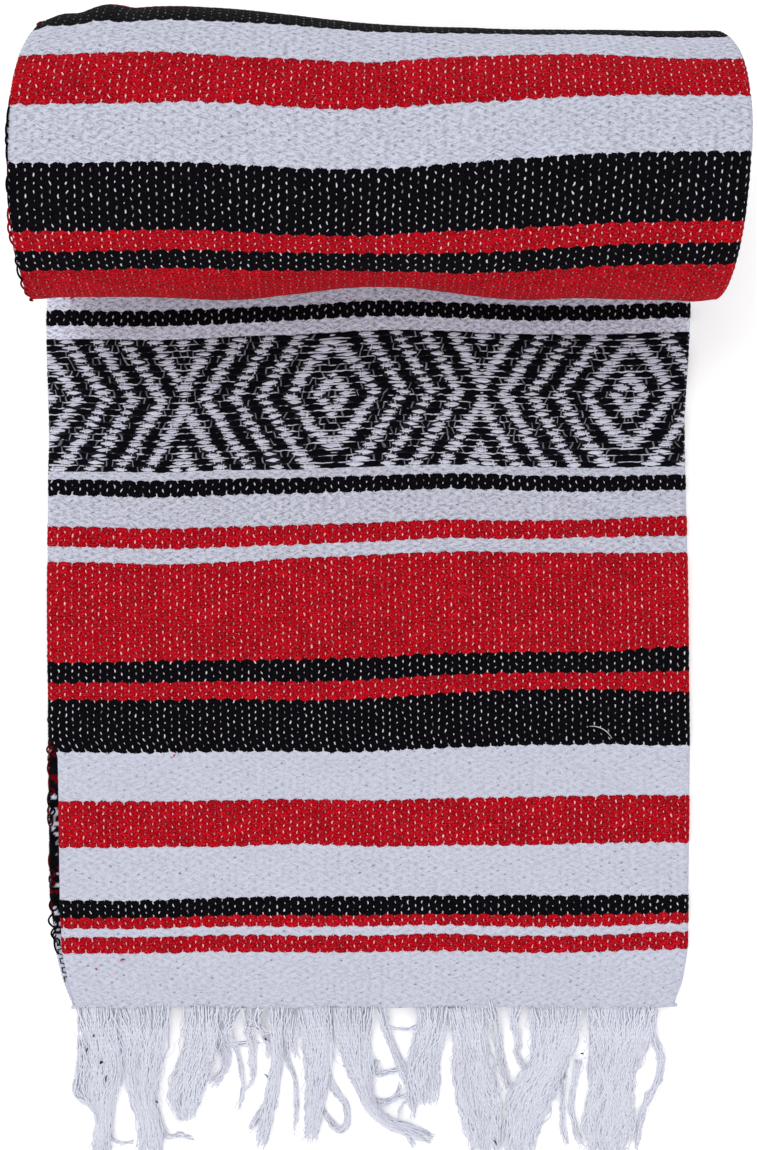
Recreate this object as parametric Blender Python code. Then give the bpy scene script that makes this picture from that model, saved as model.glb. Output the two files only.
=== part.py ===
"""A striped serape blanket, folded in four along its length and rolled up from its far end.

The free end lies flat in front of the roll, with its fringed hem at -Y. The cloth runs under the
roll, up its back, over the top and down its front, and winds inwards. +Z is up, +X runs along
the roll, and the origin is the middle of the box that holds the whole, on the floor.
"""

import math

import bpy
import numpy as np

MM = 0.001

# The cloth: one woven length, 1.27 m wide and 1.78 m long, folded to four layers.
LAYER_COUNT = 4
LAYER_THICKNESS = 2.07 * MM
STACK_THICKNESS = LAYER_COUNT * LAYER_THICKNESS
SEAM_GAP = 0.3 * MM

# The roll: a spiral that starts where the cloth leaves the floor.
ROLL_RADIUS = 62.0 * MM
ROLL_SETTLE = 1.0 * MM
ROLL_AXIS_Y = 208.5 * MM
ROLL_AXIS_Z = ROLL_RADIUS - ROLL_SETTLE
ROLL_TURNS = 6
ROLL_STATIONS = 28
ROLL_COLUMNS = 13
CORE_DIMPLE = 3.0 * MM

# The free end: how far it runs from the hem to where the roll touches the floor.
TAIL_LENGTH = 406.0 * MM
HEM_Y = ROLL_AXIS_Y - TAIL_LENGTH
TAIL_COLUMNS = 18
HEM_ROWS = (0, 5, 12, 20, 30, 44, 60, 80, 100, 118, 127, 131, 135, 145)
EVEN_ROWS_FROM = 165 * MM
EVEN_ROW_COUNT = 15
TAIL_TOP = STACK_THICKNESS - SEAM_GAP - 0.1 * MM
HEM_TOP = 7.6 * MM
HEM_THINNING = 30 * MM
SIDE_BLUR_MM = 2.0

# The edge of the folded stack, from its outer, lower face (share 0) to its inner, upper face
# (share 1), and how far each line stands out, in mm. The left side has two selvedges under the
# rounded first fold, the right side is the second fold, and the hem shows four cut ends.
EDGE_PROFILE = {
    "share": (0.00, 0.12, 0.25, 0.38, 0.50, 0.64, 0.76, 0.90, 1.00),
    "left": (-1.3, 0.0, -1.5, -0.3, -2.3, -0.5, 0.0, -0.6, -2.0),
    "right": (-2.2, -0.7, 0.0, 0.2, 0.3, 0.2, 0.0, -0.7, -2.2),
    "hem": (-1.2, 0.0, -1.9, -0.4, -1.8, -0.1, -1.7, 0.0, -1.3),
}
FOLD_FROM_SHARE = 0.5

# Where the sides of the free end run, in mm across, at some distances from the hem.
TAIL_SIDES = {
    "from_hem": (0, 12, 27, 54, 100, 127, 135, 200, 290, 340, 406),
    "top_fold": (-148.4, -152.0, -155.2, -156.4, -157.1, -157.6, -161.8, -162.8, -161.6, -163.0, -160.0),
    "selvedges": (-151.0, -155.6, -159.0, -162.0, -162.8, -163.0, -163.0, -163.4, -162.2, -163.6, -160.5),
    "right_fold": (148.4, 153.2, 155.8, 156.0, 156.4, 156.8, 156.6, 155.8, 154.0, 156.8, 157.0),
}

# Soft rises in the upper layers of the free end: centre and half sizes in mm, height in mm.
TAIL_RISES = {
    "across": (0, -120, 110, -20, 70, -90, 60),
    "from_hem": (332, 250, 215, 170, 95, 60, 20),
    "half_across": (150, 60, 70, 90, 80, 70, 90),
    "half_along": (28, 34, 30, 26, 30, 20, 12),
    "height": (2.6, 1.0, 0.9, 0.6, 0.7, 0.6, -0.4),
}

# The ends of the outermost turn, in mm across, at angles from the floor round by the back.
ROLL_ENDS = {
    "angle": (0, 60, 100, 125, 147, 160, 180, 225, 250, 275, 320, 360),
    "left": (-160.5, -157, -150, -150.5, -154, -155.5, -157, -159, -158.5, -160, -157, -156),
    "right": (157, 153, 150, 152, 159.5, 161.5, 162.5, 162.5, 162.5, 162.5, 160, 158),
}
END_BLUR_DEGREES = 8.0

# How the inner turns' ends wander in and out: waves along the spiral, in radians a turn.
INNER_WANDER = {
    "height": (1.6, 1.0),
    "rate": (4.3, 9.7),
    "left_phase": (0.0, 0.0),
    "right_phase": (1.9, 3.8),
}

# Where the roll stands out or sinks in: places in mm and degrees, height in mm.
ROLL_BULGES = {
    "across": (-114, 130, 0, 2, 150, -164),
    "angle": (105, 108, 268, 268, 280, 100),
    "half_across": (72, 75, 600, 40, 60, 13),
    "half_angle": (42, 40, 39, 32, 30, 36),
    "height": (10.5, -1.2, 7.2, -5.8, 1.2, -9.0),
}

# The fringe: tufts of warp ends, as spans in mm across at the root, half way and at the tips,
# each tuft's length in mm and the number of locks it divides into.
FRINGE_TUFTS = {
    "root_from": (-148, -129, -115, -93, -76, -51, -41, -30, -15, 12, 26, 45, 61, 78, 92, 104, 122, 137),
    "root_to": (-131, -117, -103, -80, -58, -46, -32, -17, -4, 24, 43, 58, 76, 90, 103, 120, 135, 144),
    "half_from": (-149, -132, -118, -100, -74, -53, -37, -24, -7, 16, 28, 45, 59, 74, 91, 102, 116, 133),
    "half_to": (-134, -120, -104, -85, -62, -47, -27, -12, 2, 26, 42, 56, 72, 88, 99, 114, 130, 140),
    "tip_from": (-146, -134, -119, -98, -72, -62, -39, -27, 4, 18, 36, 51, 59, 70, 90, 98, 109, 126),
    "tip_to": (-134, -122, -107, -86, -64, -53, -31, -18, 10, 27, 47, 57, 68, 80, 95, 107, 122, 131),
    "length": (66, 74, 75, 52, 50, 73, 74, 66, 62, 48, 74, 70, 74, 75, 70, 74, 75, 76),
    "locks": (7, 5, 5, 5, 6, 2, 4, 5, 4, 5, 7, 5, 7, 5, 4, 7, 6, 3),
}
FRINGE_STATIONS = (0.12, 0.3, 0.55, 0.8, 1.0)
LOCK_SPAN_SHARE = 0.66
LOCK_STEP_SHARE = 0.06
HALF_WAY_SHARE = 0.55
LANDING_SHARE = 0.3
LOCK_HEIGHT = 1.9 * MM
LOCK_TIP_SHARE = 0.45
LOCK_REST_Z = 1.6 * MM
STRIP_DEPTH = 2.4 * MM
STRIP_MARGIN = 1.0 * MM
UPPER_STRIP_Z = (4.2 * MM, 6.9 * MM)
LOWER_STRIP_Z = (0.6 * MM, 3.4 * MM)

COTTON_WHITE = (0.66, 0.68, 0.78, 1.0)
WOVEN_RED = (0.55, 0.01, 0.03, 1.0)
COTTON_ROUGHNESS = 0.85
SHARP_ANGLE = math.radians(50)


def smooth_read(table, key, column, at, blur):
    """A column of a table at the places asked for, with its corners rounded over `blur`."""
    shifts = np.linspace(-blur, blur, 5)
    places = np.asarray(at, float)
    reads = [np.interp(places + shift, table[key], table[column]) for shift in shifts]
    return np.mean(reads, axis=0)


def soft_hump(far):
    """1 at the middle, falling smoothly to 0 at two half sizes away; `far` is in half sizes squared."""
    return np.clip(1 - far / 4, 0, 1) ** 2


def material(name, colour):
    made = bpy.data.materials.new(name)
    made.use_nodes = True
    shader = made.node_tree.nodes["Principled BSDF"]
    shader.inputs["Base Color"].default_value = colour
    shader.inputs["Roughness"].default_value = COTTON_ROUGHNESS
    shader.inputs["Metallic"].default_value = 0.0
    made.diffuse_color = colour
    return made


def add_object(name, points, faces, colour):
    """An object of one closed mesh, smooth shaded, with its own cloth material."""
    mesh = bpy.data.meshes.new(name)
    mesh.from_pydata([tuple(p) for p in points], [], faces)
    mesh.materials.append(material(name + "_cloth", colour))
    mesh.shade_smooth()
    mesh.set_sharp_from_angle(angle=SHARP_ANGLE)
    made = bpy.data.objects.new(name, mesh)
    bpy.context.scene.collection.objects.link(made)
    return made


def edge_offsets(side):
    return np.array(EDGE_PROFILE[side]) * MM


def tail_height(across, from_hem):
    """The upper face of the free end, which thins to the hem and rises softly in places."""
    base = HEM_TOP + (TAIL_TOP - HEM_TOP) * np.clip(from_hem / HEM_THINNING, 0, 1)
    rises = TAIL_RISES
    for x, s, half_x, half_s, height in zip(
        rises["across"], rises["from_hem"], rises["half_across"], rises["half_along"], rises["height"]
    ):
        far = ((across / MM - x) / half_x) ** 2 + ((from_hem / MM - s) / half_s) ** 2
        base = base + height * MM * soft_hump(far)
    return base


def tail_rows():
    """Distances from the hem of the free end's cross lines, closer together at the hem."""
    near_hem = np.array(HEM_ROWS) * MM
    beyond = np.linspace(EVEN_ROWS_FROM, TAIL_LENGTH - SEAM_GAP / 2, EVEN_ROW_COUNT)
    return np.concatenate([near_hem, beyond])


def tail_side_line(column, rows):
    return smooth_read(TAIL_SIDES, "from_hem", column, rows / MM, SIDE_BLUR_MM) * MM


def free_end():
    rows = tail_rows()
    shares = EDGE_PROFILE["share"]
    lines = len(shares)
    left_out = edge_offsets("left")
    right_out = edge_offsets("right")
    hem_out = edge_offsets("hem")
    fold_x = tail_side_line("top_fold", rows)
    selvedge_x = tail_side_line("selvedges", rows)
    right_x = tail_side_line("right_fold", rows)
    points = []

    def add(x, y, z):
        points.append((x, y, z))
        return len(points) - 1

    def y_of(row, line):
        return HEM_Y - hem_out[line] if row == 0 else HEM_Y + rows[row]

    def left_point(row, line):
        start = fold_x[row] if shares[line] >= FOLD_FROM_SHARE else selvedge_x[row]
        x = start - left_out[line]
        return x, y_of(row, line), tail_height(x, rows[row]) * shares[line]

    def right_point(row, line):
        x = right_x[row] + right_out[line]
        return x, y_of(row, line), tail_height(x, rows[row]) * shares[line]

    left = [[add(*left_point(r, i)) for i in range(lines)] for r in range(len(rows))]
    right = [[add(*right_point(r, i)) for i in range(lines)] for r in range(len(rows))]

    def across(row, line, column):
        start = points[left[row][line]]
        end = points[right[row][line]]
        share = column / TAIL_COLUMNS
        x = start[0] + (end[0] - start[0]) * share
        return add(x, y_of(row, line), tail_height(x, rows[row]) * shares[line])

    inner = range(1, TAIL_COLUMNS)
    hem = [[across(0, i, c) for i in range(lines - 1)] for c in inner]
    top = [[across(r, lines - 1, c) for c in inner] for r in range(len(rows))]

    faces = []
    grid = [[left[r][-1], *top[r], right[r][-1]] for r in range(len(rows))]
    for low, high in zip(grid, grid[1:]):
        for c in range(TAIL_COLUMNS):
            faces.append((low[c], low[c + 1], high[c + 1], high[c]))
    hem_walls = [left[0], *[[*hem[c], top[0][c]] for c in range(TAIL_COLUMNS - 1)], right[0]]
    walls = [list(reversed(left)), hem_walls, right]
    for wall in walls:
        for here, beside in zip(wall, wall[1:]):
            for i in range(lines - 1):
                faces.append((here[i], beside[i], beside[i + 1], here[i + 1]))
    bottom = [left[r][0] for r in range(len(rows))]
    bottom += [right[r][0] for r in reversed(range(len(rows)))]
    bottom += [hem[c][0] for c in reversed(range(TAIL_COLUMNS - 1))]
    faces.append(tuple(bottom))
    back = [*left[-1], *top[-1], *reversed(right[-1])]
    faces.append(tuple(back))
    return add_object("free_end", points, faces, COTTON_WHITE)


def bulge(x, angle):
    """How far the roll's surface stands out from the plain spiral."""
    rises = ROLL_BULGES
    out = 0.0
    for centre, turn, half_x, half_turn, height in zip(
        rises["across"], rises["angle"], rises["half_across"], rises["half_angle"], rises["height"]
    ):
        off = (math.degrees(angle) - turn + 180) % 360 - 180
        far = ((x / MM - centre) / half_x) ** 2 + (off / half_turn) ** 2
        out += height * MM * soft_hump(far)
    return out


def roll_point(x, station, share):
    """A point of the wound stack: `station` counts along the spiral, `share` goes inwards."""
    turns = station / ROLL_STATIONS
    angle = 2 * math.pi * turns
    radius = ROLL_RADIUS - STACK_THICKNESS * (turns + share)
    radius *= 1 + bulge(x, angle) / ROLL_RADIUS
    lift = max(0.0, ROLL_RADIUS * math.cos(angle) - ROLL_AXIS_Z) * radius / ROLL_RADIUS
    y = ROLL_AXIS_Y + radius * math.sin(angle)
    if station == 0 or station == ROLL_STATIONS:
        y = ROLL_AXIS_Y + SEAM_GAP / 2
    return x, y, ROLL_AXIS_Z - radius * math.cos(angle) + lift


def roll_end(station, side):
    """Where the wound stack's edge stands, across: the outermost turn's ends, then inner ones."""
    angle = 360.0 * station / ROLL_STATIONS
    outer = float(smooth_read(ROLL_ENDS, "angle", side, min(angle, 360.0), END_BLUR_DEGREES)) * MM
    beyond = max(0.0, angle - 360.0) / 360.0
    waves = zip(INNER_WANDER["height"], INNER_WANDER["rate"], INNER_WANDER[side + "_phase"])
    wander = sum(height * math.sin(rate * beyond + phase) for height, rate, phase in waves)
    return outer + wander * MM * min(1.0, 2 * beyond)


def roll():
    shares = EDGE_PROFILE["share"]
    lines = len(shares) - 1
    last = ROLL_TURNS * ROLL_STATIONS
    points = []

    def add(point):
        points.append(point)
        return len(points) - 1

    def end_grid(side):
        outward = -1 if side == "left" else 1
        offsets = edge_offsets(side)
        grid = {}
        for station in range(last + ROLL_STATIONS + 1):
            for line in range(lines if station <= last else 1):
                x = roll_end(station, side) + outward * offsets[line]
                grid[station, line] = add(roll_point(x, station, shares[line]))
        for station in range(last + 1):
            grid[station, lines] = grid[station + ROLL_STATIONS, 0]
        centre_x = roll_end(last, side) - outward * CORE_DIMPLE
        grid["centre"] = add((centre_x, ROLL_AXIS_Y, ROLL_AXIS_Z))
        return grid

    def end_faces(grid):
        made = []
        for station in range(last):
            for line in range(lines):
                made.append(
                    (
                        grid[station, line],
                        grid[station, line + 1],
                        grid[station + 1, line + 1],
                        grid[station + 1, line],
                    )
                )
        rim = [grid[station, 0] for station in range(last, last + ROLL_STATIONS)]
        rim += [grid[last, line] for line in range(lines, 0, -1)]
        for here, beside in zip(rim, rim[1:] + rim[:1]):
            made.append((here, grid["centre"], beside))
        return made

    left = end_grid("left")
    right = end_grid("right")
    faces = end_faces(left)
    faces += [tuple(reversed(face)) for face in end_faces(right)]

    def row_between(start, end, station, share):
        first, final = points[start][0], points[end][0]
        inner = np.linspace(first, final, ROLL_COLUMNS)[1:-1]
        return [start, *[add(roll_point(x, station, share)) for x in inner], end]

    outer = [row_between(left[m, 0], right[m, 0], m, 0.0) for m in range(ROLL_STATIONS + 1)]
    cut = [outer[0]]
    cut += [row_between(left[0, i], right[0, i], 0, shares[i]) for i in range(1, lines)]
    cut += [outer[ROLL_STATIONS]]
    for low, high in zip(outer, outer[1:]):
        for c in range(ROLL_COLUMNS - 1):
            faces.append((low[c], high[c], high[c + 1], low[c + 1]))
    for low, high in zip(cut, cut[1:]):
        for c in range(ROLL_COLUMNS - 1):
            faces.append((low[c], low[c + 1], high[c + 1], high[c]))
    return add_object("roll", points, faces, WOVEN_RED)


def lock_paths():
    """Each lock's centre and half width at its tuft's root, half way and tip, the tuft's length,
    and the share of it at which this lock ends."""
    tufts = FRINGE_TUFTS
    found = []
    for t, count in enumerate(tufts["locks"]):
        for k in range(count):
            share = (k + 0.5) / count
            centres = []
            halves = []
            for place in ("root", "half", "tip"):
                start = tufts[place + "_from"][t] * MM
                end = tufts[place + "_to"][t] * MM
                centres.append(start + (end - start) * share)
                halves.append((end - start) / count * LOCK_SPAN_SHARE / 2)
            end_share = 1 - LOCK_STEP_SHARE * (k % 3)
            found.append((centres, halves, tufts["length"][t] * MM, end_share))
    return found


def fringe(name, strip_z, locks):
    low, high = strip_z
    back_y = HEM_Y - SEAM_GAP
    front_y = back_y - STRIP_DEPTH
    points = []
    faces = []

    def add(x, y, z):
        points.append((x, y, z))
        return len(points) - 1

    def column(x):
        return [add(x, back_y, low), add(x, front_y, low), add(x, front_y, high), add(x, back_y, high)]

    def join(here, beside, open_front):
        for i in range(4):
            if i == 1 and open_front:
                continue
            j = (i + 1) % 4
            faces.append((here[i], beside[i], beside[j], here[j]))

    columns = [column(locks[0][0][0] - locks[0][1][0] - STRIP_MARGIN)]
    faces.append(tuple(columns[0]))
    for centres, halves, length, end_share in locks:
        here = column(centres[0] - halves[0])
        join(columns[-1], here, open_front=False)
        beside = column(centres[0] + halves[0])
        join(here, beside, open_front=True)
        columns.append(beside)
        loop = [here[1], beside[1], beside[2], here[2]]
        for share in FRINGE_STATIONS:
            y = front_y - length * share * end_share
            ring = lock_ring(centres, halves, share * end_share, y, (low + high) / 2)
            beyond = [add(*corner) for corner in ring]
            for i in range(4):
                j = (i + 1) % 4
                faces.append((loop[i], loop[j], beyond[j], beyond[i]))
            loop = beyond
        faces.append(tuple(loop))
    final = column(locks[-1][0][0] + locks[-1][1][0] + STRIP_MARGIN)
    join(columns[-1], final, open_front=False)
    faces.append(tuple(reversed(final)))
    return add_object(name, points, faces, COTTON_WHITE)


def lock_ring(centres, halves, share, y, root_z):
    """The four corners of a lock's section, as it falls to the floor and thins to its tip."""
    stops = (0.0, HALF_WAY_SHARE, 1.0)
    x = np.interp(share, stops, centres)
    thin = np.interp(share, stops, (1.0, 1.0, LOCK_TIP_SHARE))
    half = np.interp(share, stops, halves) * thin
    half_high = LOCK_HEIGHT / 2 * thin
    z = np.interp(share, (0.0, LANDING_SHARE), (root_z, LOCK_REST_Z))
    corners = ((-1, -1), (1, -1), (1, 1), (-1, 1))
    return [(x + half * across, y, z + half_high * up) for across, up in corners]


def main():
    for made in list(bpy.data.objects):
        bpy.data.objects.remove(made, do_unlink=True)
    free_end()
    roll()
    locks = lock_paths()
    fringe("fringe_upper", UPPER_STRIP_Z, locks[0::2])
    fringe("fringe_lower", LOWER_STRIP_Z, locks[1::2])


main()
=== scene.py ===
"""The looks of a striped serape blanket, folded in four along its length and rolled up.

Every sheet of cloth is a grid of points whose lines follow the weft rows, so the raised yarns,
the stripes and the diamonds all come from one coordinate pair: the warp column and the weft row.
Sizes are in metres, worked out from the same driving dimensions as the solids. Inside the tables
of the cloth they are in mm, or in degrees round the roll.
"""

import math

import bpy
import numpy as np
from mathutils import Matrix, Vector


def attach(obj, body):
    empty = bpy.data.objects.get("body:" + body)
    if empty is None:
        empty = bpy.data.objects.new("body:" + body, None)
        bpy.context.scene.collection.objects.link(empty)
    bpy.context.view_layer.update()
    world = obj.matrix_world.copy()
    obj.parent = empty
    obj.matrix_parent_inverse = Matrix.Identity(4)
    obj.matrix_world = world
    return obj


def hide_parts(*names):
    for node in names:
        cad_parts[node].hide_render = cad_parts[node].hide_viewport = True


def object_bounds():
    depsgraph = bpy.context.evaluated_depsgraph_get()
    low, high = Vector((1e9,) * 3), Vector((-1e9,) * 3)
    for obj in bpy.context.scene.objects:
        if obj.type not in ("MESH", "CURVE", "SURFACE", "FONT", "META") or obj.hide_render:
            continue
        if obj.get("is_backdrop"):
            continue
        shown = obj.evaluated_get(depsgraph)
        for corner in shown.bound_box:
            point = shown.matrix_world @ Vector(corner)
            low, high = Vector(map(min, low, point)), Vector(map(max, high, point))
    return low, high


MM = 0.001
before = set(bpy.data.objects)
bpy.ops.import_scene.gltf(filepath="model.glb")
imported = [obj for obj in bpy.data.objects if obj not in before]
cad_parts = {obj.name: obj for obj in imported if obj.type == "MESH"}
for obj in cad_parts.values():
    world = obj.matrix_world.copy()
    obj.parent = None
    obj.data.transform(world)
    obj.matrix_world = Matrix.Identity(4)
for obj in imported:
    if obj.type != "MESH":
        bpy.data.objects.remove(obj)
cad_box = [list(corner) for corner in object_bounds()]
rng = np.random.default_rng(20)

# ---------------------------------------------------------------- sizes shared with the solids

LAYER_THICKNESS = 2.07 * MM
STACK_THICKNESS = 4 * LAYER_THICKNESS
ROLL_RADIUS = 62.0 * MM
ROLL_AXIS_Y = 208.5 * MM
ROLL_AXIS_Z = 61.0 * MM
TAIL_LENGTH = 406.0 * MM
HEM_Y = ROLL_AXIS_Y - TAIL_LENGTH
TAIL_TOP = STACK_THICKNESS - 0.4 * MM
HEM_TOP = 7.6 * MM
HEM_THINNING = 30 * MM
HEM = HEM_Y / MM

TAIL_SIDES = {
    "from_hem": (0, 12, 27, 54, 100, 127, 135, 200, 290, 340, 406),
    "top_fold": (-148.4, -152, -155.2, -156.4, -157.1, -157.6, -161.8, -162.8, -161.6, -163, -160),
    "selvedges": (-151, -155.6, -159, -162, -162.8, -163, -163, -163.4, -162.2, -163.6, -160.5),
    "right_fold": (148.4, 153.2, 155.8, 156, 156.4, 156.8, 156.6, 155.8, 154, 156.8, 157),
}
TAIL_RISES = {
    "across": (0, -120, 110, -20, 70, -90, 60),
    "along": (332, 250, 215, 170, 95, 60, 20),
    "half_across": (150, 60, 70, 90, 80, 70, 90),
    "half_along": (28, 34, 30, 26, 30, 20, 12),
    "height": (2.6, 1.0, 0.9, 0.6, 0.7, 0.6, -0.4),
}
ROLL_ENDS = {
    "angle": (0, 60, 100, 125, 147, 160, 180, 225, 250, 275, 320, 360),
    "left": (-160.5, -157, -150, -150.5, -154, -155.5, -157, -159, -158.5, -160, -157, -156),
    "right": (157, 153, 154.5, 158.5, 161.5, 162.0, 162.5, 162.0, 161.5, 161.5, 160, 158),
}
ROLL_BULGES = {
    "across": (-114, 130, 0, 2, 150, -164),
    "along": (105, 108, 268, 268, 280, 100),
    "half_across": (72, 75, 600, 40, 60, 13),
    "half_along": (42, 40, 39, 32, 30, 36),
    "height": (10.5, -1.2, 7.2, -5.8, 1.2, -9.0),
}
# How the inner turns' ends wander in and out, in mm: waves along the spiral, in radians a turn.
INNER_WANDER = {
    "height": (1.6, 1.0),
    "rate": (4.3, 9.7),
    "left_phase": (0.0, 0.0),
    "right_phase": (1.9, 3.8),
}

# ---------------------------------------------------------------- relief that only the looks have

# The right end in ROLL_ENDS and these swells are up to 6.5 mm fuller than the solid's.
ROLL_SWELLS = {
    "across": (-60, 56, -160, 149, -134, -120, 20),
    "along": (266, 266, 262, 262, 108, 105, 105),
    "half_across": (30, 24, 8, 6, 24, 7, 24),
    "half_along": (22, 22, 16, 16, 34, 22, 30),
    "height": (2.1, 2.5, 1.8, 1.2, -3.6, 3.0, 0.8),
}
# Each crease is a soft trough or ridge along a line: both ends as (across, from_hem) in mm, then
# half its width and its height.
TAIL_CREASES = (
    ((91, 257), (154, 245), 2.6, -0.75),
    ((98, 262), (157, 251), 3.0, 0.35),
    ((-150, 322), (-96, 330), 3.2, -0.5),
    ((24, 236), (84, 232), 3.0, -0.28),
    ((-130, 205), (-70, 212), 4.0, -0.25),
    ((92, 148), (150, 155), 3.5, -0.45),
    ((-40, 120), (36, 124), 4.0, 0.2),
    ((-144, 20), (-118, 5), 3.0, -0.5),
)
ROLL_CREASES = (
    ((-150, 600), (-112, 592), 3.0, -0.5),
    ((104, 586), (152, 596), 3.0, -0.45),
    ((-90, 655), (-30, 662), 3.5, -0.35),
    ((60, 640), (140, 634), 3.5, 0.35),
    ((-60, 470), (40, 476), 4.0, -0.4),
)

# ---------------------------------------------------------------- the fringe

# The fringe's tufts as seen from above: how many threads each has, then the places that it
# passes, as (across, along, half its width) in mm.
FRINGE_PATHS = (
    (95, ((-138, -194, 10.5), (-137, -215, 11), (-135, -230, 12), (-138, -241, 11),
        (-136, -246, 8.5), (-135, -254, 4.5), (-136, -264, 6), (-137, -273, 6.5))),
    (105, ((-116, -194, 15), (-114, -215, 14), (-116, -225, 11.5), (-116, -235, 9.7),
        (-116, -245, 8), (-112, -254, 6), (-112, -264, 8), (-112, -273, 8))),
    (12, ((-146, -215, 2.5), (-147, -227, 2), (-150, -240, 2), (-146, -246, 2), (-138, -248, 2))),
    (5, ((-108, -259, 2.5), (-103, -264, 1.5), (-97, -262, 1), (-90, -265, 0.7))),
    (3, ((-133, -262, 2), (-129, -266, 1), (-120, -266, 1))),
    (74, ((-86, -194, 9.5), (-86, -210, 10), (-87, -220, 10.5), (-91, -230, 10), (-94, -240, 10),
        (-96, -247, 9.5), (-93, -255, 4.5))),
    (12, ((-80, -210, 4), (-75, -220, 3.5), (-74, -228, 3), (-78, -234, 3), (-82, -239, 3))),
    (8, ((-73, -194, 3), (-74, -207, 2.5), (-71, -217, 1.5), (-67, -225, 1.5), (-66, -237, 1.2),
        (-66, -245, 1.5), (-69, -252, 2))),
    (10, ((-62, -194, 5), (-61, -206, 4.5), (-64, -212, 2), (-60, -218, 2), (-61, -226, 2.5),
        (-60, -235, 1), (-65, -241, 1))),
    (8, ((-67, -194, 4), (-71, -205, 2), (-75, -211, 2), (-73, -217, 1.5), (-65, -217, 1),
        (-56, -216, 2))),
    (8, ((-56, -194, 3), (-59, -204, 2), (-56, -211, 2), (-53, -217, 2), (-53, -225, 2))),
    (5, ((-64, -205, 3), (-56, -209, 1.5), (-49, -212, 1.5))),
    (32, ((-49, -194, 4), (-49, -215, 3), (-48, -225, 3.5), (-50, -235, 3.5), (-52, -245, 4),
        (-54, -254, 3.5), (-56, -264, 3.5), (-58, -269, 3.5))),
    (9, ((-49, -237, 2), (-54, -247, 2), (-59, -255, 2), (-63, -261, 1.5))),
    (8, ((-42, -194, 2.5), (-44, -212, 1.5), (-44, -228, 1.5), (-40, -231, 1), (-39, -240, 1),
        (-39, -252, 1), (-40, -264, 1))),
    (5, ((-39, -201, 3), (-41, -216, 2.5), (-39, -225, 2))),
    (64, ((-30, -194, 8.5), (-28, -215, 9), (-28, -225, 8.5), (-29, -235, 7.2), (-29, -245, 6),
        (-31, -254, 5), (-32, -266, 4))),
    (14, ((-24, -232, 2), (-20, -240, 2), (-15, -246, 2), (-13, -252, 2), (-14, -259, 2),
        (-19, -261, 2), (-23, -255, 1.7), (-26, -248, 1.5))),
    (60, ((-11, -194, 11), (-11, -210, 11), (-9, -220, 9.5), (-8, -227, 8.5), (-6, -235, 6),
        (-4, -242, 4), (-2, -249, 3.7), (4, -255, 3.5), (14, -259, 3.5), (23, -261, 4),
        (29, -265, 3.5))),
    (6, ((13, -259, 2.5), (17, -263, 1.5), (20, -269, 1.5))),
    (17, ((3, -194, 2.5), (5, -207, 2), (8, -216, 2), (12, -225, 2.5), (15, -232, 2.5),
        (18, -240, 2), (20, -247, 2), (19, -254, 2))),
    (6, ((1, -225, 2), (1, -232, 1.5), (7, -231, 1.5), (13, -230, 1.5), (19, -234, 2))),
    (4, ((-2, -237, 1), (-1, -245, 0.7), (7, -245, 0.7), (12, -242, 0.7), (13, -236, 1))),
    (4, ((-2, -249, 1), (5, -247, 0.7), (12, -244, 0.7), (19, -241, 1))),
    (3, ((19, -242, 1), (14, -248, 0.7), (11, -254, 0.7))),
    (4, ((5, -206, 0.7), (11, -209, 0.5), (16, -209, 0.5), (22, -207, 0.7))),
    (62, ((29, -194, 8.5), (29, -210, 8), (26, -220, 9), (24, -230, 10), (25, -240, 9),
        (26, -248, 6.5))),
    (88, ((45, -194, 8.5), (48, -215, 10), (49, -225, 12), (50, -235, 12.5), (52, -245, 13),
        (54, -254, 12), (55, -264, 9.5), (55, -273, 9))),
    (14, ((57, -194, 4), (61, -210, 3), (63, -222, 2.5), (65, -232, 2.5), (68, -240, 2.5))),
    (10, ((71, -194, 4), (69, -206, 2.5), (73, -215, 2), (70, -222, 1.5), (75, -228, 1.5),
        (77, -235, 2))),
    (108, ((90, -194, 13.5), (91, -210, 13.5), (89, -220, 12), (86, -230, 9.5), (79, -240, 13.5),
        (76, -249, 13), (73, -259, 10), (72, -273, 9.5))),
    (10, ((98, -215, 2.5), (95, -230, 1.5), (94, -245, 1.2), (94, -257, 1.5), (96, -269, 2))),
    (10, ((102, -225, 2), (100, -237, 1.5), (98, -249, 1.5), (101, -262, 2), (104, -269, 2))),
    (150, ((123, -194, 18.5), (123, -210, 17.5), (121, -220, 16), (118, -230, 13.5),
        (119, -240, 12.5), (118, -249, 15), (116, -259, 14.5), (116, -273, 12.5))),
    (16, ((136, -196, 4), (139, -215, 2), (144, -221, 2), (143, -235, 2), (138, -242, 2),
        (134, -250, 1.7), (132, -262, 1.5), (131, -272, 1.5))),
)

# ---------------------------------------------------------------- the stripes, from the hem on

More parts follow.
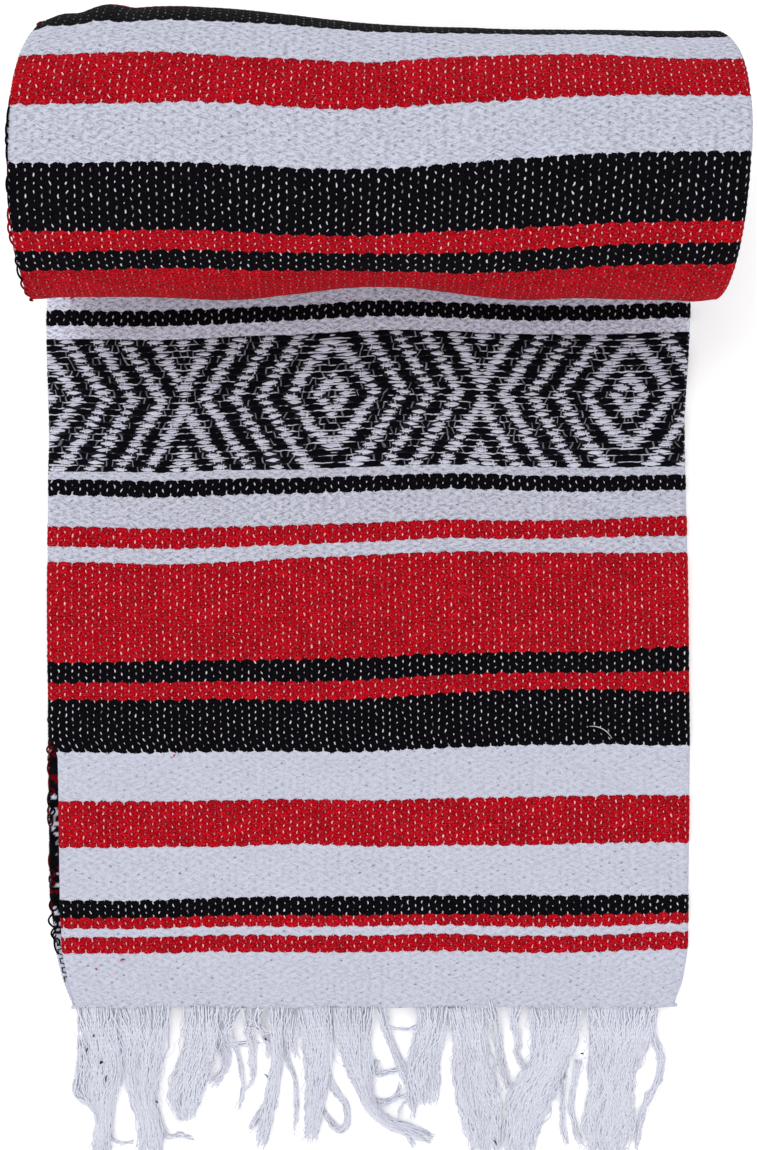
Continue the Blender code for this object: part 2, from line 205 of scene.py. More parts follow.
# Each stripe's colour, its height in mm and its weft rows. The free end shows the first 23, the
# next 9 lie behind and under the roll, then come its top and its front.
TO_DIAMONDS = (
    ("red", 49.0, 28), ("white", 8.0, 5), ("red", 8.8, 5), ("white", 15.7, 9),
    ("black", 7.2, 4), ("white", 4.3, 3), ("diamonds", 66.4, 21),
)
STRIPES = (
    ("white", 28.3, 16), ("red", 7.6, 4), ("white", 5.1, 3), ("red", 5.2, 3), ("black", 8.8, 5),
    ("white", 26.3, 15), ("red", 22.4, 13), ("white", 25.2, 14), ("black", 26.2, 15),
    ("red", 9.0, 5), ("black", 10.6, 6),
    *TO_DIAMONDS,
    ("white", 7.0, 4), ("black", 6.9, 4), ("white", 15.7, 9), ("red", 8.8, 5),
    ("white", 8.0, 5), ("red", 54.0, 31), ("black", 10.6, 6), ("red", 9.0, 5),
    ("black", 26.2, 15), ("white", 21.8, 12), ("red", 7.6, 4), ("white", 5.1, 3),
    ("red", 5.2, 3), ("black", 20.0, 11), ("white", 20.7, 12), ("red", 22.3, 13),
    ("white", 25.8, 15), ("black", 28.9, 16), ("red", 9.9, 6), ("black", 11.0, 6),
    *TO_DIAMONDS,
)
DIAMOND_STRIPE = 17
STRIPE_ENDS = np.concatenate([[0.0], np.cumsum([height for _, height, _ in STRIPES])]) * MM
ROW_ENDS = np.concatenate([[0], np.cumsum([rows for _, _, rows in STRIPES])])
REPEAT_LENGTH = STRIPE_ENDS[-1] - STRIPE_ENDS[DIAMOND_STRIPE + 1]
FINE_STEPS = {"white": 2, "red": 3, "black": 3, "diamonds": 5}
COARSE_STEPS = {"white": 2, "red": 2, "black": 2, "diamonds": 4}

# How far each weft line bends from straight, in mm towards the roll, at places across.
TAIL_WAVES = {
    "across": (-146, -111, -72, -37, -2, 33, 72, 112, 146),
    "from_hem": (0, 36, 55, 81, 155, 175, 224, 236, 260, 345),
    "offsets": (
        (0.0, 0.0, 0.0, 0.0, 0.0, 0.0, 0.0, 0.0, 0.0),
        (-1.1, -1.1, 0.4, -0.1, -0.1, 0.9, -0.6, -0.1, 1.9),
        (-1.4, -1.9, 0.1, 0.1, 0.1, 0.6, 0.6, 0.6, 1.1),
        (-1.0, -1.0, -0.5, 1.0, -1.0, 0.0, 0.0, 1.0, 1.5),
        (-2.0, -2.5, -1.5, -2.5, -1.5, 1.5, 3.0, 3.5, 2.0),
        (-3.2, -2.7, -1.7, -1.7, -0.7, 1.3, 2.3, 1.8, 4.8),
        (-2.5, -4.0, -3.0, -0.5, 0.9, 2.9, 2.4, 1.9, 1.9),
        (-1.8, -3.3, -2.3, -1.3, -0.1, 1.6, 0.9, 2.4, 3.9),
        (-1.2, -2.5, -0.7, -0.7, 0.7, 2.2, 1.0, 0.0, 1.0),
        (-2.3, -3.0, -1.3, 0.2, 2.7, 1.9, 0.0, 0.0, 1.7),
    ),
}
ROLL_WAVES = {
    "across": (-126, -96, -62, -32, -2, 28, 62, 97, 127),
    "from_hem": (406, 480, 540, 561, 583, 609, 638, 648, 659, 690, 760),
    "offsets": (
        (0.0, 0.0, 0.0, 0.0, 0.0, 0.0, 0.0, 0.0, 0.0),
        (1.0, 1.5, 0.5, -0.8, -0.4, 0.6, -0.8, -1.2, 0.2),
        (2.5, 3.2, 1.3, -0.9, -1.3, -2.0, -3.0, -3.8, -1.1),
        (1.6, 1.5, 2.1, 1.8, 3.1, -0.9, -3.3, -4.3, -1.6),
        (1.3, 0.8, 0.1, 2.4, 3.3, 0.6, -0.9, -3.7, -3.8),
        (0.6, -0.2, 1.1, 2.7, 3.5, 1.5, -1.4, -3.5, -4.3),
        (0.5, -0.5, 0.0, 2.7, 4.3, 0.9, -0.9, -3.1, -4.0),
        (0.0, -1.0, -1.0, 1.7, 4.8, 3.3, -0.5, -3.0, -4.4),
        (-0.5, -3.0, -1.7, 1.7, 6.8, 5.0, -0.9, -2.6, -4.9),
        (-0.5, -2.0, -1.0, 1.2, 4.0, 3.0, -0.5, -2.0, -3.0),
        (0.0, 0.0, 0.0, 0.0, 0.0, 0.0, 0.0, 0.0, 0.0),
    ),
}

# ---------------------------------------------------------------- the weave

STEPS_PER_COLUMN = 3
TOP_COLUMNS = 90  # across the top layer, each of two warp ends and 3.45 mm wide
BEAD_RELIEF = 0.42 * MM
WHITE_RELIEF = 0.15 * MM
DIAMOND_RELIEF = 0.40 * MM
DIAMOND_REPEAT = 42.4
DIAMOND_MIDDLE_ROW = 11.5
DIAMOND_EYE_COLUMN = 43.1
DIAMOND_STEP = 0.54  # columns that a ring's side moves with each row
DIAMOND_STEP_AT_EYE = 0.22
DIAMOND_STEP_REACH = 3.0

# The cloth's colours, as linear light.
COTTON_WHITE = (0.525, 0.540, 0.640)
WOVEN_RED = (0.330, 0.0006, 0.0050)
WOVEN_BLACK = (0.0020, 0.0021, 0.0034)
# The fringe's cotton is the cloth's white yarn made lighter, as painted light against the shade
# among its threads.
LOOSE_COTTON = (0.755, 0.769, 0.868)
YARNS = {"white": COTTON_WHITE, "red": WOVEN_RED, "black": WOVEN_BLACK, "diamonds": COTTON_WHITE}


# ================================================================ small arithmetic


def ease(share):
    """A share from 0 to 1 with soft ends."""
    return share * share * (3 - 2 * share)


def fade_in(value, reach):
    """0 up to 0, then rising evenly to 1 at `reach`."""
    return np.clip(value / reach, 0, 1)


def smooth_read(table, key, column, at, blur):
    """A column of a table at the places asked for, with its corners rounded over `blur`."""
    places = [np.asarray(at, float) + shift for shift in np.linspace(-blur, blur, 5)]
    return np.mean([np.interp(place, table[key], table[column]) for place in places], axis=0)


def soft_humps(table, across, along, turn=None):
    """The sum of a table's rises, in metres; `turn` is the period of `along`, where it has one."""
    total = np.zeros(np.broadcast(across, along).shape)
    columns = (table[key] for key in ("across", "along", "half_across", "half_along", "height"))
    for x, a, half_x, half_a, height in zip(*columns):
        off = along - a
        if turn:
            off = (off + turn / 2) % turn - turn / 2
        far = ((across / MM - x) / half_x) ** 2 + (off / half_a) ** 2
        total = total + height * MM * np.clip(1 - far / 4, 0, 1) ** 2
    return total


def creases(table, across, from_hem):
    """The height of a table's troughs and ridges, each fading out towards its two ends."""
    x, s = across / MM, from_hem / MM
    total = np.zeros(np.broadcast(x, s).shape)
    for (x0, s0), (x1, s1), half, height in table:
        length = math.hypot(x1 - x0, s1 - s0)
        dx, ds = (x1 - x0) / length, (s1 - s0) / length
        along = ((x - x0) * dx + (s - s0) * ds) / length
        ends = np.sin(math.pi * np.clip(along, 0, 1))
        off = (s - s0) * dx - (x - x0) * ds + 0.06 * length * ends
        total = total + height * MM * ends**0.7 * np.exp(-((off / half) ** 2))
    return total


def wave_offset(table, across, from_hem):
    """How far the weft lines bend at each point, read from a table of waves."""
    places = np.array(table["across"], float)
    stations = np.array(table["from_hem"], float)
    offsets = np.array(table["offsets"], float)
    by_row = np.array([
        np.mean([np.interp(across / MM + d, places, line) for d in (-14, -7, 0, 7, 14)], axis=0)
        for line in offsets
    ])
    share = np.interp(from_hem / MM, stations, np.arange(len(stations)))
    low = np.clip(np.floor(share).astype(int), 0, len(stations) - 2)
    part = share - low
    here = np.take_along_axis(by_row, low[None], axis=0)[0]
    beyond = np.take_along_axis(by_row, low[None] + 1, axis=0)[0]
    return (here + (beyond - here) * part) * MM


def lattice_noise(u, v, seed):
    """Smooth noise from -1 to 1 over a plane whose cells are 1 wide."""
    u, v = np.asarray(u, float), np.asarray(v, float)
    values = np.random.default_rng(seed).uniform(-1, 1, (257, 257))
    i, j = np.floor(u).astype(int), np.floor(v).astype(int)
    fu, fv = ease(u - i), ease(v - j)
    corner = lambda a, b: values[(i + a) % 257, (j + b) % 257]
    low = corner(0, 0) * (1 - fu) + corner(1, 0) * fu
    high = corner(0, 1) * (1 - fu) + corner(1, 1) * fu
    return low * (1 - fv) + high * fv


# ================================================================ the weave's own geometry


def row_of(from_hem):
    """The weft row, as a real number, at a distance from the hem."""
    return np.interp(from_hem, STRIPE_ENDS, ROW_ENDS)


def from_hem_of(row):
    return np.interp(row, ROW_ENDS, STRIPE_ENDS)


def stripe_of_row(row):
    return np.clip(np.searchsorted(ROW_ENDS, row, side="right") - 1, 0, len(STRIPES) - 1)


def row_lines(first_stripe, last_stripe, steps):
    """The rows at which a sheet that spans these stripes has lines of points."""
    lines = [float(ROW_ENDS[first_stripe])]
    for stripe in range(first_stripe, last_stripe + 1):
        colour, _, rows = STRIPES[stripe]
        count = steps[colour]
        lines += [ROW_ENDS[stripe] + (i + 0.5) / count for i in range(rows * count)]
    return np.array(lines + [float(ROW_ENDS[last_stripe + 1])])


def yarn_height(lowest, along, off):
    """A yarn's height, 0 to 1: `along` its bead and `off` its middle, in halves of its width."""
    return (lowest + (1 - lowest) * np.sqrt(along)) * np.sqrt(np.clip(1 - off**2, 0, 1))


def bead_height(column, row):
    """The height, 0 to 1, of the yarn that lies uppermost at a place in the plain weave."""
    is_white = np.array([colour in ("white", "diamonds") for colour, _, _ in STRIPES])
    best = np.zeros_like(column * row)
    for step in (-1, 0, 1):
        k = np.floor(row) + step
        along = np.sin(np.pi * (((column + k % 2) / 2) % 1.0))
        half = 0.35 + 0.6 * along**0.35
        rise = yarn_height(0.35, along, (row - k - 0.5) / half)
        lower = np.where(is_white[stripe_of_row(k + 0.5)], WHITE_RELIEF / BEAD_RELIEF, 1.0)
        best = np.maximum(best, rise * lower)
    return best


def diamond_place(column, row):
    """Where a place lies in the diamond band's floats: their length coordinate, counted in floats,
    and the height above the float's middle, in rows."""
    line = row - ROW_ENDS[DIAMOND_STRIPE]
    k = np.floor(line)
    half_repeat = DIAMOND_REPEAT / 2
    to_eye = np.abs((column - DIAMOND_EYE_COLUMN + half_repeat) % DIAMOND_REPEAT - half_repeat)
    slope = DIAMOND_STEP + DIAMOND_STEP_AT_EYE * np.exp(-to_eye / DIAMOND_STEP_REACH)
    ring = to_eye + np.abs(k + 0.5 - DIAMOND_MIDDLE_ROW) * slope + 1
    return ring / 2, line - k - 0.5


def diamond_height(column, row):
    ring, above = diamond_place(column, row)
    along = np.sin(np.pi * (ring % 1.0))
    half = 0.24 + 0.26 * along**0.6
    return yarn_height(0.3, along, above / half)


def relief(column, row):
    """How far the yarn stands out of the cloth's middle surface, in metres."""
    in_diamonds = np.zeros_like(row, bool)
    for stripe, (colour, _, _) in enumerate(STRIPES):
        if colour == "diamonds":
            in_diamonds |= (row > ROW_ENDS[stripe]) & (row < ROW_ENDS[stripe + 1])
    plain = BEAD_RELIEF * bead_height(column, row)
    figured = DIAMOND_RELIEF * diamond_height(column, row)
    slub = 1 + 0.25 * lattice_noise(column * 0.7, row * 0.9, 5)
    return np.where(in_diamonds, figured, plain) * slub


def weft_wander(across, from_hem, seed):
    """How far single wefts stray from their line."""
    return 0.22 * MM * lattice_noise(across / (19 * MM), from_hem / (5 * MM), seed)


def pucker(across, from_hem, seed):
    """The gentle unevenness of hand-woven cloth at rest: slow swells and short cross wrinkles."""
    slow = 0.45 * MM * lattice_noise(across / (46 * MM), from_hem / (31 * MM), seed)
    short = 0.16 * MM * lattice_noise(across / (15 * MM), from_hem / (7 * MM), seed + 1)
    return slow + short


# ================================================================ making meshes


def add_mesh(name, points, quads, material, slot, extra_faces=(), normals=None, tint=None):
    """A smooth-shaded object from arrays of points and four-cornered faces. `tint` is a colour for
    each vertex, which the material reads by that name."""
    mesh = bpy.data.meshes.new(name)
    corners = np.concatenate([quads.reshape(-1), *extra_faces]).astype(np.int32)
    sizes = np.array([4] * len(quads) + [len(face) for face in extra_faces], np.int32)
    mesh.vertices.add(len(points))
    mesh.vertices.foreach_set("co", np.ascontiguousarray(points, np.float32).reshape(-1))
    mesh.loops.add(len(corners))
    mesh.loops.foreach_set("vertex_index", corners)
    mesh.polygons.add(len(sizes))
    mesh.polygons.foreach_set("loop_start", (np.cumsum(sizes) - sizes).astype(np.int32))
    mesh.update(calc_edges=True)
    mesh.polygons.foreach_set("use_smooth", np.ones(len(sizes), bool))
    if normals is not None:
        mesh.normals_split_custom_set_from_vertices(normals.reshape(-1, 3))
    if tint is not None:
        colours = np.concatenate([tint.reshape(-1, 3), np.ones((len(points), 1))], axis=1)
        attribute = mesh.attributes.new("tint", "FLOAT_COLOR", "POINT")
        attribute.data.foreach_set("color", colours.astype(np.float32).reshape(-1))
    mesh.materials.append(material)
    made = bpy.data.objects.new(name, mesh)
    bpy.context.scene.collection.objects.link(made)
    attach(made, "root")
    return made


def paired(u, v):
    return np.stack(np.broadcast_arrays(u, v), axis=-1)


def set_uv(made, layer_name, values):
    """A UV map from one (u, v) pair for each vertex."""
    mesh = made.data
    layer = mesh.uv_layers.new(name=layer_name)
    index = np.empty(len(mesh.loops), np.int32)
    mesh.loops.foreach_get("vertex_index", index)
    layer.data.foreach_set("uv", values.reshape(-1, 2)[index].astype(np.float32).reshape(-1))


def four_corners(*corners):
    return np.stack(corners, axis=-1).reshape(-1, 4)


def grid_quads(rows, columns):
    """The faces of a grid of points, front side up where columns run right and rows run up."""
    index = np.arange(rows * columns).reshape(rows, columns)
    return four_corners(index[:-1, :-1], index[:-1, 1:], index[1:, 1:], index[1:, :-1])


def add_grid(name, points, *more, **named):
    """An object whose mesh is a grid of points, by rows and columns."""
    return add_mesh(name, points.reshape(-1, 3), grid_quads(*points.shape[:2]), *more, **named)


def grid_normals(points):
    down = np.gradient(points, axis=0)
    right = np.gradient(points, axis=1)
    normals = np.cross(right, down)
    return normals / np.maximum(np.linalg.norm(normals, axis=-1, keepdims=True), 1e-12)


def unit_square(rows, columns):
    """A UV map that lays a grid out over one square."""
    across, along = np.meshgrid(*(np.linspace(0.005, 0.995, count) for count in (columns, rows)))
    return np.stack([across, along], axis=-1)


# ================================================================ materials


def feed(socket, value):
    """Gives a node's input a number or colour, or links it where the value is itself computed."""
    if isinstance(value, Value):
        value = value.socket
    if isinstance(value, bpy.types.NodeSocket):
        socket.id_data.links.new(value, socket)
    else:
        socket.default_value = (*value, 1.0) if isinstance(value, tuple) else value


def feed_all(node, inputs):
    """Feeds a node's inputs by name or by place."""
    for key, value in dict(inputs).items():
        feed(node.inputs[key], value)


def add_node(tree, kind, inputs=(), **settings):
    """A node with its settings and its inputs."""
    node = tree.nodes.new("ShaderNode" + kind)
    for name, value in settings.items():
        setattr(node, name, value)
    feed_all(node, inputs)
    return node


def tree_of(*values):
    """The node tree of the first of some values that isn't a plain number or colour."""
    sockets = (value.socket if isinstance(value, Value) else value for value in values)
    return next(socket.id_data for socket in sockets if isinstance(socket, bpy.types.NodeSocket))


def computed(tree, operation, *values):
    return Value(add_node(tree, "Math", enumerate(values), operation=operation).outputs[0])


def math_method(operation):
    return lambda self, *others: computed(self.tree, operation, self, *others)


class Value:
    """A number in a material's node tree, which Python's own arithmetic extends."""

    def __init__(self, socket):
        self.socket = socket
        self.tree = socket.id_data

    __add__ = __radd__ = math_method("ADD")
    __sub__ = math_method("SUBTRACT")
    __mul__ = __rmul__ = math_method("MULTIPLY")
    __truediv__ = math_method("DIVIDE")
    __mod__ = math_method("FLOORED_MODULO")
    __pow__ = math_method("POWER")
    floor = math_method("FLOOR")
    sin = math_method("SINE")
    sqrt = math_method("SQRT")
    abs = math_method("ABSOLUTE")
    above = math_method("GREATER_THAN")
    at_least = math_method("MAXIMUM")
    at_most = math_method("MINIMUM")

    def __rpow__(self, base):
        return computed(self.tree, "POWER", base, self)

    def fade(self, start, end):
        """0 up to `start`, rising smoothly to 1 at `end`, or the other way round."""
        rising = start < end
        inputs = {
            "From Min": min(start, end), "From Max": max(start, end),
            "To Min": 0.0 if rising else 1.0, "To Max": 1.0 if rising else 0.0,
            "Value": self,
        }
        node = add_node(self.tree, "MapRange", inputs, interpolation_type="SMOOTHSTEP")
        return Value(node.outputs["Result"])


def pick(mask, when_one, when_zero):
    """One of two computed numbers, by a mask of 0 or 1."""
    return when_zero + mask * (when_one - when_zero)


def vector(x, y, z=0.0):
    return add_node(x.tree, "CombineXYZ", enumerate((x, y, z))).outputs[0]


def noise_at(place, scale, detail=2.0, roughness=0.5):
    inputs = {"Scale": scale, "Detail": detail, "Roughness": roughness, "Vector": place}
    return Value(add_node(place.id_data, "TexNoise", inputs).outputs["Fac"])


def noise(x, y, z=0.0, detail=1.0, roughness=0.5):
    """Noise over the weave's columns and rows; `z` tells one noise from another."""
    return noise_at(vector(x, y, z), 1.0, detail, roughness)


def parts(kind, socket):
    """The separate numbers of a colour or a place."""
    return [Value(part) for part in add_node(socket.id_data, kind, {0: socket}).outputs]


def chance(x, y, z=0.0):
    """Three random numbers, the same all over one cell."""
    place = vector(x, y, z)
    cells = add_node(x.tree, "TexWhiteNoise", {"Vector": place})
    return parts("SeparateColor", cells.outputs["Color"])


def mix_colour(share, first, second, blend="MIX"):
    """A blend of two colours, each a socket or three numbers."""
    tree = tree_of(share, first, second)
    node = add_node(tree, "Mix", {0: share}, data_type="RGBA", blend_type=blend)
    colour_inputs = [socket for socket in node.inputs if socket.type == "RGBA"]
    for socket, value in zip(colour_inputs, (first, second)):
        feed(socket, value)
    return next(socket for socket in node.outputs if socket.type == "RGBA")


def grey(shade):
    return add_node(shade.tree, "CombineColor", enumerate([shade] * 3)).outputs[0]


def shaded(colour, shade):
    """A colour made lighter or darker by a number."""
    return mix_colour(1.0, colour, grey(shade), "MULTIPLY")


def red_share(colour):
    """1 where a yarn colour is the red one, and 0 for black or white."""
    red, _, blue = parts("SeparateColor", colour)
    return (red - blue).above(0.2)


def uv_values(tree, layer_name):
    node = add_node(tree, "UVMap", uv_map=layer_name)
    return parts("SeparateXYZ", node.outputs[0])[:2]


def tint_of(tree):
    return add_node(tree, "Attribute", attribute_name="tint").outputs["Color"]


def object_place(tree):
    return add_node(tree, "TexCoord").outputs["Object"]


def cloth_shader(material, colour, height, bump_distance, sheen=0.012):
    """Ends a cloth material: soft sheen, no gloss, and the fine height as bump."""
    tree = material.node_tree
    bump = {"Strength": 1.0, "Distance": bump_distance, "Height": height}
    feed_all(tree.nodes["Principled BSDF"], {
        "Roughness": 0.95, "Specular IOR Level": 0.03, "Base Color": colour,
        "Sheen Weight": sheen, "Sheen Roughness": 0.55,
        "Normal": add_node(tree, "Bump", bump).outputs["Normal"],
    })
    return material


def new_material(name, colour):
    material = bpy.data.materials.new(name)
    material.use_nodes = True
    material.diffuse_color = (*colour, 1.0)
    return material


def stripe_ramp(row, first_stripe, last_stripe):
    """The colour of a weft row, and 1 where the yarn is dyed. The ramp reaches one stripe beyond
    the sheet on both sides."""
    low = max(first_stripe - 1, 0)
    high = min(last_stripe + 1, len(STRIPES) - 1)
    start, span = float(ROW_ENDS[low]), float(ROW_ENDS[high + 1] - ROW_ENDS[low])
    node = add_node(row.tree, "ValToRGB")
    ramp = node.color_ramp
    ramp.interpolation = "CONSTANT"
    for stripe in range(low, high + 1):
        place = (ROW_ENDS[stripe] - start) / span
        element = ramp.elements[0] if stripe == low else ramp.elements.new(place)
        element.position = place
        colour = STRIPES[stripe][0]
        element.color = (*YARNS[colour], 1.0 if colour in ("red", "black") else 0.0)
    ramp.elements.remove(ramp.elements[-1])
    feed(node.inputs[0], (row + (0.5 - start)) / span)
    return node.outputs["Color"], Value(node.outputs["Alpha"])


def bead(along, off, lowest):
    """A yarn's height at a place: `along` its bead, and `off` its middle in halves of its width."""
    crown = (off * off * -1.0 + 1.0).at_least(0.0).sqrt()
    return (along.sqrt() * (1.0 - lowest) + lowest) * crown


def ellipse(x, y):
    """The distance from a point, in radii of an ellipse round it."""
    return (x**2.0 + y**2.0).sqrt()


def striped_cloth(name, first_stripe, last_stripe, dash_strength, contrast, gain):
    """Weft-faced cloth: yarn beads two columns long, staggered row by row, with the white warp
    showing as a small dash where two beads meet. `contrast` and `gain` are the white yarn's; `gain`
    sets its lightness sheet by sheet as painted light and shade."""
    material = new_material(name, YARNS[STRIPES[first_stripe][0]])
    u, v = uv_values(material.node_tree, "weave")
    column = u + (noise(u * 0.35, v * 0.5) - 0.5) * 0.75
    row = v + (noise(u * 0.6, v * 0.4) - 0.5) * 0.62
    row = row + (noise(u * 2.6, v * 1.9, 13.0) - 0.5) * 0.75
    own = row.floor()

    best_height = None
    for step in (-1.0, 0.0, 1.0):
        k = own + step
        along = ((((column + k % 2.0) / 2.0) % 1.0) * math.pi).sin().at_least(0.0)
        half = along**0.35 * 0.6 + 0.35
        off = (row - k - 0.5) / half
        rise = bead(along, off, 0.35)
        colour, dyed = stripe_ramp(k, first_stripe, last_stripe)
        rise = rise * (dyed * 0.4 + 0.6)
        beside_red = red_share(colour) * (row - k - 0.5).abs().fade(1.05, 0.55)
        if best_height is None:
            best_height, best_colour, best_dyed = rise, colour, dyed
            best_k, best_off, near_red = k, off, beside_red
            continue
        wins = rise.above(best_height)
        best_colour = mix_colour(wins, best_colour, colour)
        best_dyed, best_k, best_off = (
            pick(wins, *pair) for pair in ((dyed, best_dyed), (k, best_k), (off, best_off))
        )
        best_height = rise.at_least(best_height)
        near_red = near_red.at_least(beside_red)

    # The dyed yarn: painted shade where beads meet, with paler fibres along it and uneven dye.
    fibre = noise(u * 3.9, v * 4.4 + best_off * 0.5, detail=2.0, roughness=0.65)
    cell = chance(((column + best_k % 2.0) / 2.0).floor(), best_k)
    batch = noise(u * 0.16, v * 0.11, detail=2.0)
    shade = best_height.fade(0.34, 0.97) * 0.98 + 0.13
    shade = shade * ((fibre - 0.5) * 5.0 + 1.02).at_least(0.12)
    shade = shade * (cell[0] * 0.30 + 0.85) * (batch * 0.5 + 0.77)
    dyed_colour = shaded(best_colour, shade)
    lint = noise(u * 3.1 + fibre * 1.5, v * 3.4, 2.0, detail=2.0, roughness=0.7)
    is_red = red_share(best_colour)
    lint_share = lint.fade(0.56, 0.66) * (is_red * 0.38 + 0.010)
    dyed_colour = mix_colour(lint_share, dyed_colour, (0.80, 0.13, 0.18))
    pill = noise(u * 1.3, v * 1.0, 5.0, detail=2.0, roughness=0.7).fade(0.72, 0.78)
    dyed_colour = mix_colour(pill * (is_red * 0.45 + 0.08), dyed_colour, (0.80, 0.50, 0.56))

    # The warp dash at the ends of this row's own beads.
    turned = (column + own % 2.0) / 2.0
    nearest = (turned + 0.5).floor()
    dash = chance(nearest, own, 3.0)
    above = row - own - 0.5
    beside = (turned - nearest) * 2.0 + above * (dash[2] - 0.5) * 0.26 + (dash[1] - 0.5) * 0.08
    size = dash[0] * 0.50 + 0.58
    reach = ellipse(beside / 0.098, above / 0.43) / size
    strength = reach.fade(1.25, 0.60) * (dash[1].fade(0.0, 0.55) * 0.75 + 0.22) * dash_strength
    # Round each dash a ring of painted shade, where the beads dip to meet it.
    dash_ring_shade = reach.fade(2.4, 1.0)
    dash_ring_shade_share = dash_ring_shade * (is_red * -0.45 + 0.70) * min(1.0, 0.3 + dash_strength)
    dyed_colour = mix_colour(dash_ring_shade_share, dyed_colour, mix_colour(0.35, (0, 0, 0), dyed_colour))
    warp_tint = mix_colour(0.16, (0.84, 0.84, 0.88), best_colour)
    warp_tint = mix_colour(is_red * 0.80, warp_tint, (1.0, 0.40, 0.43))
    strength = (strength * (is_red * 0.35 + 1.0)).at_most(1.0)
    dyed_colour = mix_colour(strength * 0.95, dyed_colour, warp_tint)

    # The white yarn: a fine, restless hatch of short strokes and a darkening where beads meet, both
    # painted shade, with an odd dark fleck.
    bend = noise(u * 0.5, v * 0.6) * 1.3
    zigzag = ((u * 0.5 + bend * 0.5) % 1.0 - 0.5).abs() * 1.5
    stroke = noise(u * 1.15 + bend * 0.4, (v + zigzag) * 1.9 + bend, detail=2.0, roughness=0.6)
    hatch = stroke.fade(0.32, 0.60)
    grain = noise(u * 4.2, v * 3.6)
    broad = noise(u * 0.10, v * 0.12, detail=2.0)
    white_shade = hatch * (0.23 * contrast) + (1.0 - 0.17 * contrast)
    white_shade = white_shade * (grain * (0.28 * contrast) + (1.0 - 0.14 * contrast))
    white_crease_shade = best_height.fade(0.15, 0.58) * (0.13 * contrast) + (1.01 - 0.13 * contrast)
    white_shade = white_shade * white_crease_shade * (broad * 0.10 + 0.95)
    white_shade = (white_shade * (dash_ring_shade * (-0.04 * contrast) + 1.0) * gain).at_least(0.1)
    white_colour = shaded(best_colour, white_shade)
    fleck = noise(u * 2.2, v * 2.9, 7.0).fade(0.70 - 0.02 * contrast, 0.78)
    # Where beads meet at a dash the gap is painted dark, as shade; the other flecks are random dark
    # specks.
    gap_shade = ellipse((beside + 0.05) / 0.24, (above + dash[0] * 0.3) / 0.20).fade(1.2, 0.4)
    fleck = (fleck * 0.8).at_least(gap_shade * dash[1].fade(0.95 - 0.22 * contrast, 1.0))
    white_colour = mix_colour(fleck * 0.66, white_colour, (0.10, 0.095, 0.14))
    # Near a dyed stripe its lint tints the cotton.
    near_dye = noise(u * 0.9, v * 1.2, 11.0, detail=2.0).fade(0.62, 0.74) * 0.06
    stain = near_red * (noise(u * 1.4, v * 1.5, 17.0).fade(0.36, 0.62) * 0.42 + 0.14)
    white_colour = mix_colour(near_dye.at_least(stain), white_colour, (0.62, 0.14, 0.21))

    colour = mix_colour(best_dyed, white_colour, dyed_colour)
    height = best_height * (best_dyed * 0.7 + 0.3) + fibre * 0.20 + hatch * (best_dyed * -0.2 + 0.2)
    height = height + strength * 0.3
    return cloth_shader(material, colour, height, 0.35 * MM)


